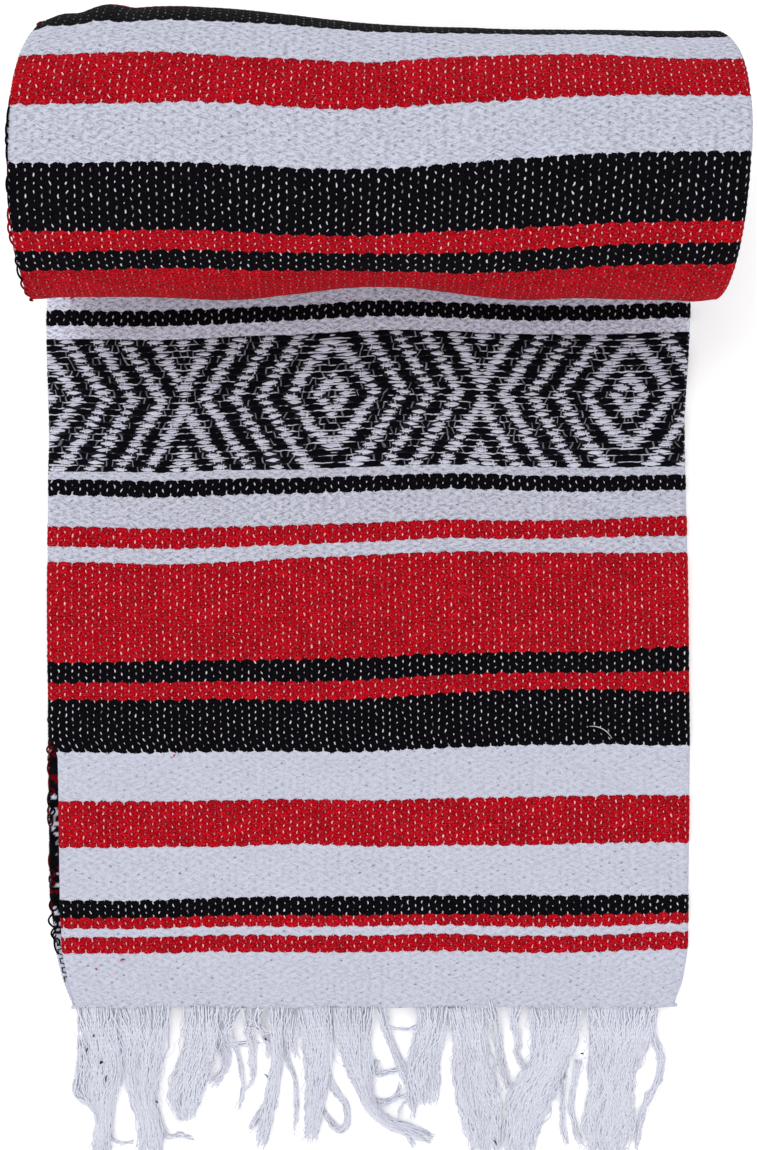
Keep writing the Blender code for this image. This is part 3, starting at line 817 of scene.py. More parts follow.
def diamond_cloth(name, stripe):
    """The figured band: black and white floats two columns long that step about half a column a
    row, over a dark ground with a thin white pick, held down by short white warp stitches."""
    material = new_material(name, COTTON_WHITE)
    u, v = uv_values(material.node_tree, "weave")
    first_row = float(ROW_ENDS[stripe])
    column = u + (noise(u * 0.5, v * 0.6) - 0.5) * 0.8
    line = v - first_row + (noise(u * 0.5, v * 0.5, 4.0) - 0.5) * 0.34
    k = line.floor().at_least(0.0).at_most(float(STRIPES[stripe][2] - 1))
    above = line - k - 0.5
    half_repeat = DIAMOND_REPEAT / 2
    to_eye = ((column - (DIAMOND_EYE_COLUMN - half_repeat)) % DIAMOND_REPEAT - half_repeat).abs()
    slope = math.e ** (to_eye / -DIAMOND_STEP_REACH) * DIAMOND_STEP_AT_EYE + DIAMOND_STEP
    from_middle = (k + (0.5 - DIAMOND_MIDDLE_ROW)).abs()
    ragged = noise(u * 0.7, k * 7.3, 3.0) - 0.5
    ring = (to_eye + from_middle * slope + 1.0 + ragged * 0.9) / 2.0
    float_index = ring.floor()
    ring_part = ring - float_index
    is_black = (float_index % 2.0) * -1.0 + 1.0
    along = (ring_part * math.pi).sin().at_least(0.0)
    side = (column - DIAMOND_EYE_COLUMN).above(0.0)
    cell = chance(float_index + side * 50.0, k, 2.0)
    lift = (cell[2] - 0.5) * 0.16 + (ring_part - 0.5) * (cell[1] - 0.5) * 0.35
    half = along**1.5 * 0.25 + (cell[0] * 0.09 + 0.03) + is_black * (along**0.5 * 0.14 + 0.09)
    off = (above - lift) / half
    inside = off.abs().fade(1.12, 0.88)
    rise = bead(along, off, 0.3)

    # Two plies lie side by side in each float, with a faint line of painted shade between them;
    # each float is also painted darker towards its edges, as shade.
    fibre = noise(u * 2.2, v * 5.0, detail=3.0, roughness=0.6)
    from_split = off + cell[2] * 0.6 - 0.3 + (ring_part - 0.5) * (cell[0] - 0.5) * 1.6
    split = from_split.abs().fade(0.24, 0.05) * cell[1].fade(0.15, 0.6)
    white_shade = (rise.fade(0.1, 0.9) * 0.32 + 0.80) * (fibre * 0.46 + 0.78)
    white_float = shaded(COTTON_WHITE, white_shade * (split * -0.55 + 1.0))
    black_float = shaded(WOVEN_BLACK, fibre * 2.0 + 0.2)
    floats = mix_colour(is_black, white_float, black_float)

    # Between the rows the dark ground shows, black weft and painted shade under the floats, and
    # near the eyes and crossings a thin white pick.
    near_axis = ((to_eye / -7.0 + 1.0).at_least((to_eye - half_repeat) / 7.0 + 1.0)).at_least(0.0)
    pick_shows = noise(u * 0.55, v * 1.1, 9.0, detail=2.0) + near_axis * 0.13
    pick_shows = pick_shows.fade(0.50, 0.58) * above.abs().fade(0.33, 0.43)
    ground = mix_colour(pick_shows, (0.012, 0.012, 0.016), (0.55, 0.56, 0.66))
    colour = mix_colour(inside, ground, floats)

    # Warp stitches stand at the quarter points of the black floats, a little tilted.
    half_float = (ring * 2.0).floor()
    draw = chance(half_float + side * 90.0, k, 5.0)
    tilt = above * (draw[2] - 0.5) * 0.9 + (draw[1] - 0.5) * 0.3
    beside = ((ring * 2.0) % 1.0 - 0.5 + tilt) / 0.085
    stitch = beside.abs().fade(1.4, 0.6) * above.abs().fade(0.56, 0.42)
    stitch = stitch * draw[0].above(is_black * 0.22 + 0.36)
    stitch = stitch * (draw[1] * 0.5 + 0.5) * (is_black * -0.62 + 1.0)
    # Painted shadow beside some stitches darkens the floats next to them.
    shadow_side = (beside - 1.6).abs().fade(1.6, 0.4) * draw[0].above(0.58)
    shadow_side = shadow_side * above.abs().fade(0.5, 0.3)
    colour = mix_colour(shadow_side * 0.25, colour, (0.012, 0.012, 0.016))
    colour = mix_colour(stitch * 0.90, colour, (0.60, 0.61, 0.70))
    height = rise * 0.8 + fibre * 0.2 + stitch * 0.5
    return cloth_shader(material, colour, height, 0.35 * MM)


def tinted_cloth(name):
    """Cloth edges and yarn ends, coloured point by point, with fibres and uneven dye."""
    material = new_material(name, COTTON_WHITE)
    tint = tint_of(material.node_tree)
    place = object_place(material.node_tree)
    fibre = noise_at(place, 900.0, 3.0, 0.6)
    broad = noise_at(place, 90.0, 2.0)
    colour = shaded(tint, (fibre * 0.7 + 0.62) * (broad * 0.3 + 0.85))
    return cloth_shader(material, colour, fibre, 0.25 * MM)


def striped_underside(name):
    """The resting face: the stripes point by point, with the weave's beads as bump and as painted
    shade between them.
    """
    material = new_material(name, COTTON_WHITE)
    tint = tint_of(material.node_tree)
    u, v = uv_values(material.node_tree, "weave")
    beads = ((u + v.floor() % 2.0) * (math.pi / 2)).sin().abs() * (v * math.pi).sin().abs()
    fibre = noise(u * 2.2, v * 9.0, detail=3.0, roughness=0.6)
    colour = shaded(tint, (beads * 0.35 + 0.65) * (fibre * 0.5 + 0.75))
    return cloth_shader(material, colour, beads + fibre * 0.3, 0.4 * MM)


def loose_cotton(name, colour):
    """Fluffy cotton strands: twisted plies, with painted shade along the twist, pale fibres and a
    soft sheen.
    """
    material = new_material(name, colour)
    u, v = uv_values(material.node_tree, "strand")
    place = object_place(material.node_tree)
    ply = ((u + v) * (2 * math.pi)).sin() * 0.5 + 0.5
    fibre = noise_at(place, 1500.0, 2.0, 0.6)
    broad = noise_at(place, 60.0, 2.0)
    shade = (ply * 0.08 + 0.93) * (fibre * 0.16 + 0.92) * (broad * 0.10 + 0.95)
    return cloth_shader(material, shaded(colour, shade), ply + fibre * 0.5, 0.03 * MM, sheen=0.1)


# ================================================================ the free end


FOLD_RADIUS = 2.0 * MM
FOLD_STEPS = 6
RIGHT_FOLD_DEPTH = 2.5 * MM
RIGHT_FOLD_OUT = 0.3 * MM
RIGHT_FOLD_STEPS = 9
TUCK = 4.0 * MM
TUCK_STEPS = 3
HEM_ROUNDING = 0.9 * MM
HEM_ENDS = (-150.6 * MM, 150.4 * MM)
HEM_PLACES = 262
SIDE_BLUR = 2.0  # mm
END_BLUR = 8.0  # degrees
RIM_RADIUS = LAYER_THICKNESS / 2
RIM_STEPS = 3
TOP_STEPS = TOP_COLUMNS * STEPS_PER_COLUMN


def tail_height(across, from_hem):
    """The upper face of the free end, thinner at the hem, with the solids' soft rises."""
    base = HEM_TOP + (TAIL_TOP - HEM_TOP) * np.clip(from_hem / HEM_THINNING, 0, 1)
    return base + soft_humps(TAIL_RISES, across, from_hem / MM)


def hem_line(across):
    """How far the hem strays from straight, as the last rows bunch and slip."""
    slow = 0.7 * lattice_noise(across / (17 * MM), 0 * across + 0.5, 81)
    short = 0.45 * lattice_noise(across / (4.5 * MM), 0 * across + 1.5, 82)
    return (slow + short) * MM


def tail_line(column, from_hem):
    return smooth_read(TAIL_SIDES, "from_hem", column, from_hem / MM, SIDE_BLUR) * MM


def wrapped_section(left, right, radius, bend_steps, outer, tucked, under):
    """Across and share of height or depth for every point of a sheet's cross-sections: out of the
    left side, round its edge there, across at `outer`, round the right fold and under again."""
    tuck = np.linspace(1, 0, TUCK_STEPS + 1)[None, :-1]
    bend = np.linspace(0, math.pi, bend_steps + 1)[None, :-1]
    across = np.arange(TOP_STEPS + 1)[None, :] / TOP_STEPS
    second = np.linspace(0, math.pi, RIGHT_FOLD_STEPS + 1)[None, 1:]
    start, end = left + radius, right + RIGHT_FOLD_OUT - RIGHT_FOLD_DEPTH
    x = np.concatenate([
        start + TUCK * tuck,
        start - radius * np.sin(bend),
        start + (end - start) * across,
        end + RIGHT_FOLD_DEPTH * np.sin(second),
        end - TUCK * (1 - tuck) - TUCK / TUCK_STEPS,
    ], axis=1)
    share = np.concatenate([
        np.full_like(tuck, tucked),
        (outer + tucked) / 2 + (tucked - outer) / 2 * np.cos(bend),
        np.full_like(across, outer),
        0.5 + (outer - 0.5) * np.cos(second),
        np.full_like(tuck, under),
    ], axis=1)
    return x, np.broadcast_to(share, x.shape)


def tail_points(rows):
    """The top layer's middle surface on lines of weft, each bent as the weft is."""
    nominal = from_hem_of(np.maximum(rows, 0))[:, None]
    sides = tail_line("top_fold", nominal), tail_line("right_fold", nominal)
    x, share = wrapped_section(*sides, FOLD_RADIUS, FOLD_STEPS, 1.0, 0.5, 0.004)
    s = nominal + wave_offset(TAIL_WAVES, x, nominal + 0 * x)
    s = s + weft_wander(x, s, 11) * fade_in(nominal, 8 * MM)
    top = tail_height(x, s) + pucker(x, s, 21) * np.clip(s / (10 * MM), 0.2, 1)
    top = top + creases(TAIL_CREASES, x, s)
    near = np.clip(HEM_ROUNDING - s, 0, HEM_ROUNDING)
    rounded = HEM_ROUNDING - np.sqrt(HEM_ROUNDING**2 - near**2)
    z = top * share - rounded * (share > 0.6)
    y = HEM_Y + s + hem_line(x) * np.clip(1 - nominal / (14 * MM), 0, 1)
    points = np.stack([x, y, z], axis=-1)
    if rows[0] < 0:
        # The line beyond the hem, which only the normals need, runs straight on.
        points[0] = 2 * points[1] - points[2]
    return points


def add_sheet(name, first, last, steps, *looks, pad, place_points, lift):
    """A sheet of cloth on lines of weft. Sheets that meet share one grid, and each is worked out
    one line beyond its edges, so their edges and normals meet exactly. `pad` is how far, in rows,
    and `lift` the share of the yarn's relief on each line."""
    rows = row_lines(first, last, steps)
    if STRIPE_ENDS[first] < TAIL_LENGTH < STRIPE_ENDS[last + 1]:
        # This is where the free end meets the roll.
        rows = rows[from_hem_of(rows) > TAIL_LENGTH + 1.0 * MM]
        rows = np.concatenate([[row_of(TAIL_LENGTH)], rows])
    padded = np.concatenate([[rows[0] - pad], rows, [rows[-1] + pad]])
    middle = place_points(padded)
    columns = np.arange(middle.shape[1])[None, :] / STEPS_PER_COLUMN
    raised_by = relief(*np.broadcast_arrays(columns, padded[:, None])) * lift(padded[:, None])
    points = middle + grid_normals(middle) * raised_by[..., None]
    normals = grid_normals(points)[1:-1]
    points = points[1:-1]
    if STRIPES[first][0] == "diamonds":
        material = diamond_cloth("cloth_" + name, first)
    else:
        material = striped_cloth("cloth_" + name, first, last, *looks)
    slot = "red_weft" if "roll" in name else "white_cotton"
    made = add_grid(name, points, material, slot, normals=normals)
    set_uv(made, "weave", paired(columns, rows[:, None]))
    set_uv(made, "OFBake", unit_square(*points.shape[:2]))
    length = float(from_hem_of(rows[-1]) - from_hem_of(rows[0]))
    return made


# Each sheet: its first and last stripe, how finely it is made, the strength of the warp's dashes,
# then the contrast of the white yarn and its lightness, which is painted light and shade set sheet
# by sheet, lifted most on the bands that the roll shades.
TAIL_SHEETS = {
    "hem_bands": (0, 7, FINE_STEPS, 1.0, 1.0, 1.0),
    "dark_bands": (8, 11, FINE_STEPS, 1.0, 1.3, 1.015),
    "light_bands": (12, 16, FINE_STEPS, 1.0, 1.9, 0.965),
    "diamond_band": (17, 17, FINE_STEPS),
    "upper_bands": (18, 22, FINE_STEPS, 1.0, 2.6, 1.24),
}
ROLL_SHEETS = {
    "roll_back_low": (23, 26, COARSE_STEPS, 1.0, 1.8, 0.965),
    "roll_back_high": (27, 31, COARSE_STEPS, 0.25, 1.8, 0.965),
    "roll_top": (32, 34, FINE_STEPS, 1.0, 1.8, 0.965),
    "roll_front": (35, 37, FINE_STEPS, 1.0, 1.8, 0.965),
    "roll_front_low": (38, 43, COARSE_STEPS, 0.3, 1.8, 0.965),
}


def add_sheets(table, **how):
    return [add_sheet(name, *values, **how) for name, values in table.items()]


# ================================================================ the roll


def spiral_length(angle):
    """Distance along the outer face of the wound stack, from the floor, at an angle in turns."""
    return 2 * math.pi * (ROLL_RADIUS * angle - STACK_THICKNESS * angle**2 / 2)


SPIRAL_TURNS = np.linspace(0, 6.6, 6601)
SPIRAL_LENGTHS = spiral_length(SPIRAL_TURNS)


def turns_at(from_hem):
    return np.interp(from_hem - TAIL_LENGTH, SPIRAL_LENGTHS, SPIRAL_TURNS)


def roll_place(across, turns, share, out=0.0):
    """A point of the wound stack, `share` of the stack inwards from its outer face."""
    angle = 2 * math.pi * turns
    radius = ROLL_RADIUS - STACK_THICKNESS * (turns + share)
    bulge = soft_humps(ROLL_BULGES, across, np.degrees(angle), 360)
    bulge = bulge + soft_humps(ROLL_SWELLS, across, np.degrees(angle), 360)
    radius = radius * (1 + bulge / ROLL_RADIUS) + out
    lift = np.maximum(0, ROLL_RADIUS * np.cos(angle) - ROLL_AXIS_Z) * radius / ROLL_RADIUS
    y = ROLL_AXIS_Y + radius * np.sin(angle)
    z = ROLL_AXIS_Z - radius * np.cos(angle) + lift
    return np.stack(np.broadcast_arrays(across, y, z), axis=-1)


def roll_end_line(turns, side):
    """Where the wound stack ends, across: the outermost turn's table, then the inner turns."""
    outer = smooth_read(ROLL_ENDS, "angle", side, np.minimum(turns, 1.0) * 360, END_BLUR) * MM
    beyond = np.maximum(0, turns - 1)
    waves = zip(INNER_WANDER["height"], INNER_WANDER["rate"], INNER_WANDER[side + "_phase"])
    wander = sum(height * np.sin(rate * beyond + phase) for height, rate, phase in waves)
    return outer + wander * MM * np.minimum(1.0, 2 * beyond)


def roll_points(rows):
    """The roll's outer sheet on lines of weft: out of the left end, round the selvedge, across,
    round the nested folds and in at the right end."""
    nominal = from_hem_of(rows)[:, None]
    t = turns_at(nominal)
    ends = roll_end_line(t, "left"), roll_end_line(t, "right")
    x, share = wrapped_section(*ends, RIM_RADIUS, RIM_STEPS, 0.0, 0.25, 0.99)
    s = nominal + wave_offset(ROLL_WAVES, x, nominal + 0 * x)
    s = s + weft_wander(x, s, 12)
    turns = turns_at(np.maximum(s, TAIL_LENGTH))
    clear_of_floor = fade_in(turns - 0.04, 0.1) * fade_in(0.97 - turns, 0.06)
    out = (pucker(x, s, 33) + creases(ROLL_CREASES, x, s)) * clear_of_floor * (share < 0.01)
    return roll_place(x, turns, share, out)


def off_the_floor(rows):
    """How far the roll's yarn may stand out: not at all where the roll rests."""
    return fade_in(turns_at(from_hem_of(rows)) - 0.02, 0.03)


# ================================================================ colours along the edges


def yarn_colours(from_hem):
    """The weft's colour at distances from the hem, for any length of cloth."""
    s = np.asarray(from_hem, float)
    s = s - np.maximum(0, np.ceil((s - STRIPE_ENDS[-1]) / REPEAT_LENGTH)) * REPEAT_LENGTH
    stripe = np.clip(np.searchsorted(STRIPE_ENDS, s, side="right") - 1, 0, len(STRIPES) - 1)
    colours = np.array([YARNS[colour] for colour, _, _ in STRIPES])[stripe]
    in_diamonds = stripe % (len(STRIPES) - 1 - DIAMOND_STRIPE) == DIAMOND_STRIPE
    colours[in_diamonds & (np.floor(s / (3.2 * MM)) % 3 == 0)] = WOVEN_BLACK
    return colours


EDGE_STEP = 0.875 * MM

# The selvedges under the first fold: the colour from each place on, in mm from the hem. Wefts
# carried from stripe to stripe cover the edge, so the stripes don't line up with the top layer's.
SELVEDGE_COLOURS = (
    (0, "white"), (36, "black"), (38, "white"), (43, "black"), (45, "white"), (50, "black"),
    (52, "red"), (58, "black"), (60, "white"), (66, "black"), (67.5, "red"), (71, "black"),
    (84, "white"), (88, "black"), (89, "white"), (93, "black"), (96, "white"), (99, "black"),
    (102, "white"), (105, "black"), (106, "white"), (108, "black"), (109, "red"),
    (116, "black"), (125, "red"), (132, "black"), (150, "red"), (156, "black"), (176, "red"),
    (196, "black"), (202, "red"), (223, "white"), (226, "black"), (232, "red"), (240, "black"),
    (246, "white"), (249, "black"), (268, "white"), (272, "black"), (286, "white"),
    (291, "black"), (303, "white"), (306, "black"), (320, "white"), (323, "black"),
    (350, "white"), (358, "black"), (366, "red"), (372, "black"), (378, "red"),
)


def edge_bumps(from_hem, phase=0.0):
    """Each weft row turns back round the outermost warp end, which makes a small knob."""
    return 0.5 + 0.5 * np.cos(2 * math.pi * (from_hem / (2 * EDGE_STEP)) + phase)


# ================================================================ the ends of the roll


def end_ridge(name, side, share_low, share_high, turns_from, section_steps, material):
    """One ridge that winds round an end of the roll: a selvedge or a fold, seen end on."""
    start, stop = (TAIL_LENGTH + spiral_length(turns) for turns in (turns_from, INMOST_TURN))
    s = np.arange(start, stop, EDGE_STEP)[:, None]
    turns = turns_at(s)
    outward = -1 if side == "left" else 1
    bend = np.linspace(0, math.pi, section_steps + 1)[None, :]
    middle, half = (share_low + share_high) / 2, (share_high - share_low) / 2
    depth = min(half * STACK_THICKNESS, RIGHT_FOLD_DEPTH)
    knobs = edge_bumps(s, 3.0 * share_low) * 0.35 * MM
    ragged = 0.5 * MM * lattice_noise(s / (9 * MM), 0 * s + 3.3, 40 + int(20 * share_low))
    edge = roll_end_line(turns, side) + outward * (knobs + ragged)
    x = edge - outward * depth * (1 - np.sin(bend))
    share = middle - half * np.cos(bend) * 0.97 + 0 * s
    tuck_in = edge - outward * (depth + TUCK)
    x = np.concatenate([tuck_in, x, tuck_in], axis=1)
    share = np.concatenate([share[:, :1], share, share[:, -1:]], axis=1)
    points = roll_place(x, turns + 0 * x, share)
    colours = yarn_colours(s[:, 0])[:, None, :]
    tint = np.repeat(colours, points.shape[1], axis=1)
    if half > 0.2:
        # On a fold the face of the cloth shows, with its warp dashes.
        dashes = (rng.uniform(size=(len(s), points.shape[1], 1)) < 0.10) * 0.7
        tint = colours * (1 - dashes) + np.array(COTTON_WHITE) * dashes
    add_grid(name, points[:, ::-outward], material, "red_weft", tint=tint)


CORE_BACKING_X = {"left": -149.5 * MM, "right": 150.5 * MM}
INMOST_TURN = 6.42

# The ridges: the side, the share of the stack that each takes from its outer face inwards, the
# turn that it starts at, and how many steps go round it.
RIDGES = (
    ("left_outer_selvedge", "left", 0.0, 0.25, 1.0, 5),
    ("left_inner_selvedge", "left", 0.25, 0.5, 0.0, 5),
    ("left_fold_edge", "left", 0.5, 1.0, 0.0, 6),
    ("right_fold_edge", "right", 0.0, 1.0, 1.0, 8),
)


def core_backing(side, material):
    """Cloth deep between the turns, which closes the view into the roll from its end. Its colours
    are darkened to under half as painted shade.
    """
    rings = np.linspace(0.5 * MM, ROLL_RADIUS - 7 * MM, 24)
    spokes = np.linspace(0, 2 * math.pi, 73)
    radius, angle = np.meshgrid(rings, spokes, indexing="ij")
    x = CORE_BACKING_X[side] + 0.4 * MM * np.sin(radius / MM * 2)
    y = ROLL_AXIS_Y + radius * np.sin(angle)
    z = ROLL_AXIS_Z - 2 * MM - radius * np.cos(angle)
    points = np.stack([x, y, z], axis=-1)[:, :: 1 if side == "left" else -1]
    wound = (ROLL_RADIUS - radius) / STACK_THICKNESS
    shade = yarn_colours(TAIL_LENGTH + spiral_length(np.clip(wound, 0, 6.5))) * 0.45
    add_grid(side + "_core", points, material, "red_weft", tint=shade)


def build_roll_ends(material):
    for ridge in RIDGES:
        end_ridge(*ridge, material)
    for side in CORE_BACKING_X:
        core_backing(side, material)


# ================================================================ the free end's other edges


def build_selvedges(material):
    """The two selvedges that lie under the first fold, along the free end's left side."""
    s = np.arange(0.4 * MM, TAIL_LENGTH + 2 * MM, EDGE_STEP)[:, None]
    line = tail_line("selvedges", s)
    inner = np.maximum(tail_line("top_fold", s), line) + 5 * MM
    bend = np.linspace(0, math.pi, 6)[None, :]
    flat = inner + (line + 0.3 * MM + RIM_RADIUS - inner) * np.linspace(0, 1, 12)[None, :-1]
    across, shares = [flat], [0.497 + 0 * flat - 0.02 * edge_bumps(s, 1.0)]
    for layer, out in ((1, 0.3 * MM), (0, 0.0)):
        knobs = edge_bumps(s, 2.0 * layer) * 0.4 * MM
        ragged = 0.7 * MM * lattice_noise(s / (7 * MM), 0 * s + 1.5 + layer, 51)
        across.append(line + out - knobs - ragged + RIM_RADIUS * (1 - np.sin(bend)))
        shares.append(0.25 * layer + 0.125 + 0.122 * np.cos(bend) + 0 * s)
    x = np.concatenate([*across, line + 3 * MM], axis=1)
    share = np.concatenate([*shares, 0.0 * s], axis=1)
    points = np.stack([x, HEM_Y + s + 0 * x, tail_height(x, s + 0 * x) * share], axis=-1)

    starts = [start for start, _ in SELVEDGE_COLOURS]
    table = np.array([YARNS[colour] for _, colour in SELVEDGE_COLOURS])
    shown = s[:, 0] / MM + 1.2 * lattice_noise(s[:, 0] / (3 * MM), 0 * s[:, 0], 61)
    own = table[np.clip(np.searchsorted(starts, shown, side="right") - 1, 0, len(table) - 1)]
    is_red = (own[:, :1] > 0.3) & (own[:, 1:2] <= 0.3)
    tint = np.repeat((own * np.where(is_red, 0.42, 1.0))[:, None, :], points.shape[1], axis=1)
    # Past the hem's white rows, dark wefts wind over most of the edge.
    place = np.arange(points.shape[1])[None, :]
    wound = lattice_noise(s / (2.6 * MM), place * 0.45, 62)
    wound = wound + 0.6 * lattice_noise(s / (1.2 * MM), place * 0.8, 63)
    past = s > 37 * MM
    tint = np.where(((wound > -0.05) & past)[..., None], np.array(WOVEN_BLACK) * 1.5, tint)
    # Where the wound wefts part, the cotton beneath shows at half its lightness, as painted shade.
    bare = np.array(COTTON_WHITE) * 0.5 + tint * 0.2
    tint = np.where(((wound < -0.85) & past)[..., None], bare, tint)
    made = add_grid("selvedges", points[:, ::-1], material, "white_cotton", tint=tint)
    set_uv(made, "OFBake", unit_square(*points.shape[:2]))


def build_hem(material):
    """The four cut ends of the folded cloth, one over another, each with its rolled edge."""
    x = np.linspace(*HEM_ENDS, HEM_PLACES)[None, :]
    rows = []
    for layer in range(4):
        for place in np.linspace(-1, 1, 7)[: None if layer == 3 else -1]:
            share = (layer + 0.5 + 0.49 * place) / 4
            uneven = 0.5 * MM * lattice_noise(x / (6 * MM), 0 * x + layer, 71)
            back = 1.0 * MM * (1 - math.sqrt(1 - 0.92 * place**2)) + uneven * 0.5 + hem_line(x)
            z = tail_height(x, 0 * x) * share
            rows.append(np.stack([x[0], (HEM_Y - 0.1 * MM + back)[0], z[0]], axis=-1))
    first = rows[0] + np.array([0, 4 * MM, 0])
    last = rows[-1] + np.array([0, 1.2 * MM, -0.15 * MM])
    points = np.stack([first, *rows, last])
    white = np.ones_like(points) * np.array(COTTON_WHITE) * 0.97
    made = add_grid("hem_edge", points, material, "white_cotton", tint=white)
    set_uv(made, "OFBake", unit_square(*points.shape[:2]))


def build_underside():
    """The face that lies on the floor, flat, with the same stripes."""
    rows = np.concatenate([np.arange(0, row_of(TAIL_LENGTH), 2.0), [row_of(TAIL_LENGTH)]])
    s = from_hem_of(rows)[:, None]
    left = tail_line("selvedges", s) + 1.2 * MM
    right = tail_line("right_fold", s) - 3.0 * MM
    share = np.linspace(0, 1, 60)[None, ::-1]
    x = left + (right - left) * share
    y = HEM_Y + np.clip(s, 0.8 * MM, None) + 0 * x
    tint = np.repeat(yarn_colours(s[:, 0])[:, None, :], x.shape[1], axis=1)
    points = np.stack([x, y, 0 * x], axis=-1)
    material = striped_underside("cloth_underside")
    made = add_grid("underside", points, material, "white_cotton", tint=tint)
    set_uv(made, "weave", paired(share * TOP_COLUMNS, rows[:, None]))
    set_uv(made, "OFBake", unit_square(*points.shape[:2])[:, ::-1])


# ================================================================ strands


def unit(vectors, least):
    return vectors / np.maximum(np.linalg.norm(vectors, axis=-1, keepdims=True), least)


def tubes(paths, radii, sides):
    """Points, faces and caps of round strands: paths are (strand, place, xyz), radii alike."""
    tangent = unit(np.gradient(paths, axis=1), 1e-12)
    side = unit(np.cross(tangent, np.array([0.21, 0.13, 0.97])), 1e-9)
    over = np.cross(side, tangent)
    turn = np.linspace(0, 2 * math.pi, sides, endpoint=False)[:, None]
    ring = side[:, :, None] * np.cos(turn) + over[:, :, None] * np.sin(turn)
    points = paths[:, :, None] + ring * radii[:, :, None, None]
    index = np.arange(points.size // 3).reshape(points.shape[:3])
    beside = np.roll(index, -1, axis=2)
    quads = four_corners(index[:, :-1], beside[:, :-1], beside[:, 1:], index[:, 1:])
    caps = [*index[:, 0, ::-1], *index[:, -1]]
    return points.reshape(-1, 3), quads, caps


def add_strands(name, paths, radii, sides, material, slot, tints=None):
    """Strands as one mesh, each of its own colour or with a UV map for the plies' twist."""
    points, quads, caps = tubes(paths, radii, sides)
    if tints is not None:
        tints = np.repeat(np.array(tints), paths.shape[1] * sides, axis=0)
    made = add_mesh(name, points, quads, material, slot, extra_faces=caps, tint=tints)
    if tints is not None:
        return made
    steps = np.linalg.norm(np.diff(paths, axis=1), axis=-1)
    length = np.concatenate([np.zeros((len(paths), 1)), np.cumsum(steps, axis=1)], axis=1)
    turns = (np.arange(sides) / sides)[None, None, :]
    set_uv(made, "strand", paired(turns, (length / (2.4 * MM))[:, :, None]))
    return made


THREAD_PLACES = 26
THREAD_RADIUS = 0.50 * MM
LOWEST, HIGHEST = 0.62, 8.0  # a thread's middle, in mm
CORE_AT_HEM, CORE_LYING = 5.35, 2.35  # the middle of a matted core, in mm
CORE_SHARE = 0.86  # of the tuft's width


def resampled(guide, places):
    """A guide's points read at equal steps along it, with its corners eased."""
    guide = np.array(guide, float)
    steps = np.linalg.norm(np.diff(guide[:, :2], axis=0), axis=1)
    stops = np.concatenate([[0], np.cumsum(steps)])
    blur = 0.035 * stops[-1]
    reads = []
    for shift in np.linspace(-2, 2, 5) * blur:
        at = np.clip(np.linspace(0, stops[-1], places) + shift, 0, stops[-1])
        reads.append(np.stack([np.interp(at, stops, column) for column in guide.T], axis=1))
    read = np.mean(reads, axis=0)
    read[0], read[-1] = guide[0], guide[-1]
    return read, stops[-1]


def along_guide(guide, reads, at):
    """What a guide says at reads of it: its middle and half its width, the direction to its left
    as a unit vector, and the distance from its root."""
    read, length = resampled(guide, reads)
    columns = (*read.T, *np.gradient(read[:, :2], axis=0).T)
    x, y, half, ahead_x, ahead_y = (np.interp(at, np.arange(reads), column) for column in columns)
    size = np.hypot(ahead_x, ahead_y)
    return x, y, half, -ahead_y / size, ahead_x / size, at / (reads - 1) * length


def waves(distance, count, periods, heights):
    """A sum of sines for each strand, with random periods, heights and phases."""
    total = np.zeros((count, distance.shape[-1]))
    for low, high in periods:
        period = rng.uniform(low, high, (count, 1))
        phase = rng.uniform(0, 2 * math.pi, (count, 1))
        wave = np.sin(2 * math.pi * distance / period + phase)
        total = total + rng.uniform(*heights, (count, 1)) * wave
    return total


GUIDE_READS = 120
CORE_READS = 40
CORE_PLACES = np.arange(2, 35)
CORE_SIDES = 14
CORE_COUNT = 30  # a tuft of this many threads or more has a matted middle
FLUFF_READS = 60
FLUFF_PLACES = 30


def core_middle(y):
    """The height of the middle of a wide tuft's matted core, in mm, as it falls from the hem."""
    return CORE_AT_HEM + (CORE_LYING - CORE_AT_HEM) * ease(fade_in(HEM - y, 26))


def core_tall(half):
    """How far a core's top stands above its middle, in mm."""
    return np.minimum(1.25, 0.22 * half)


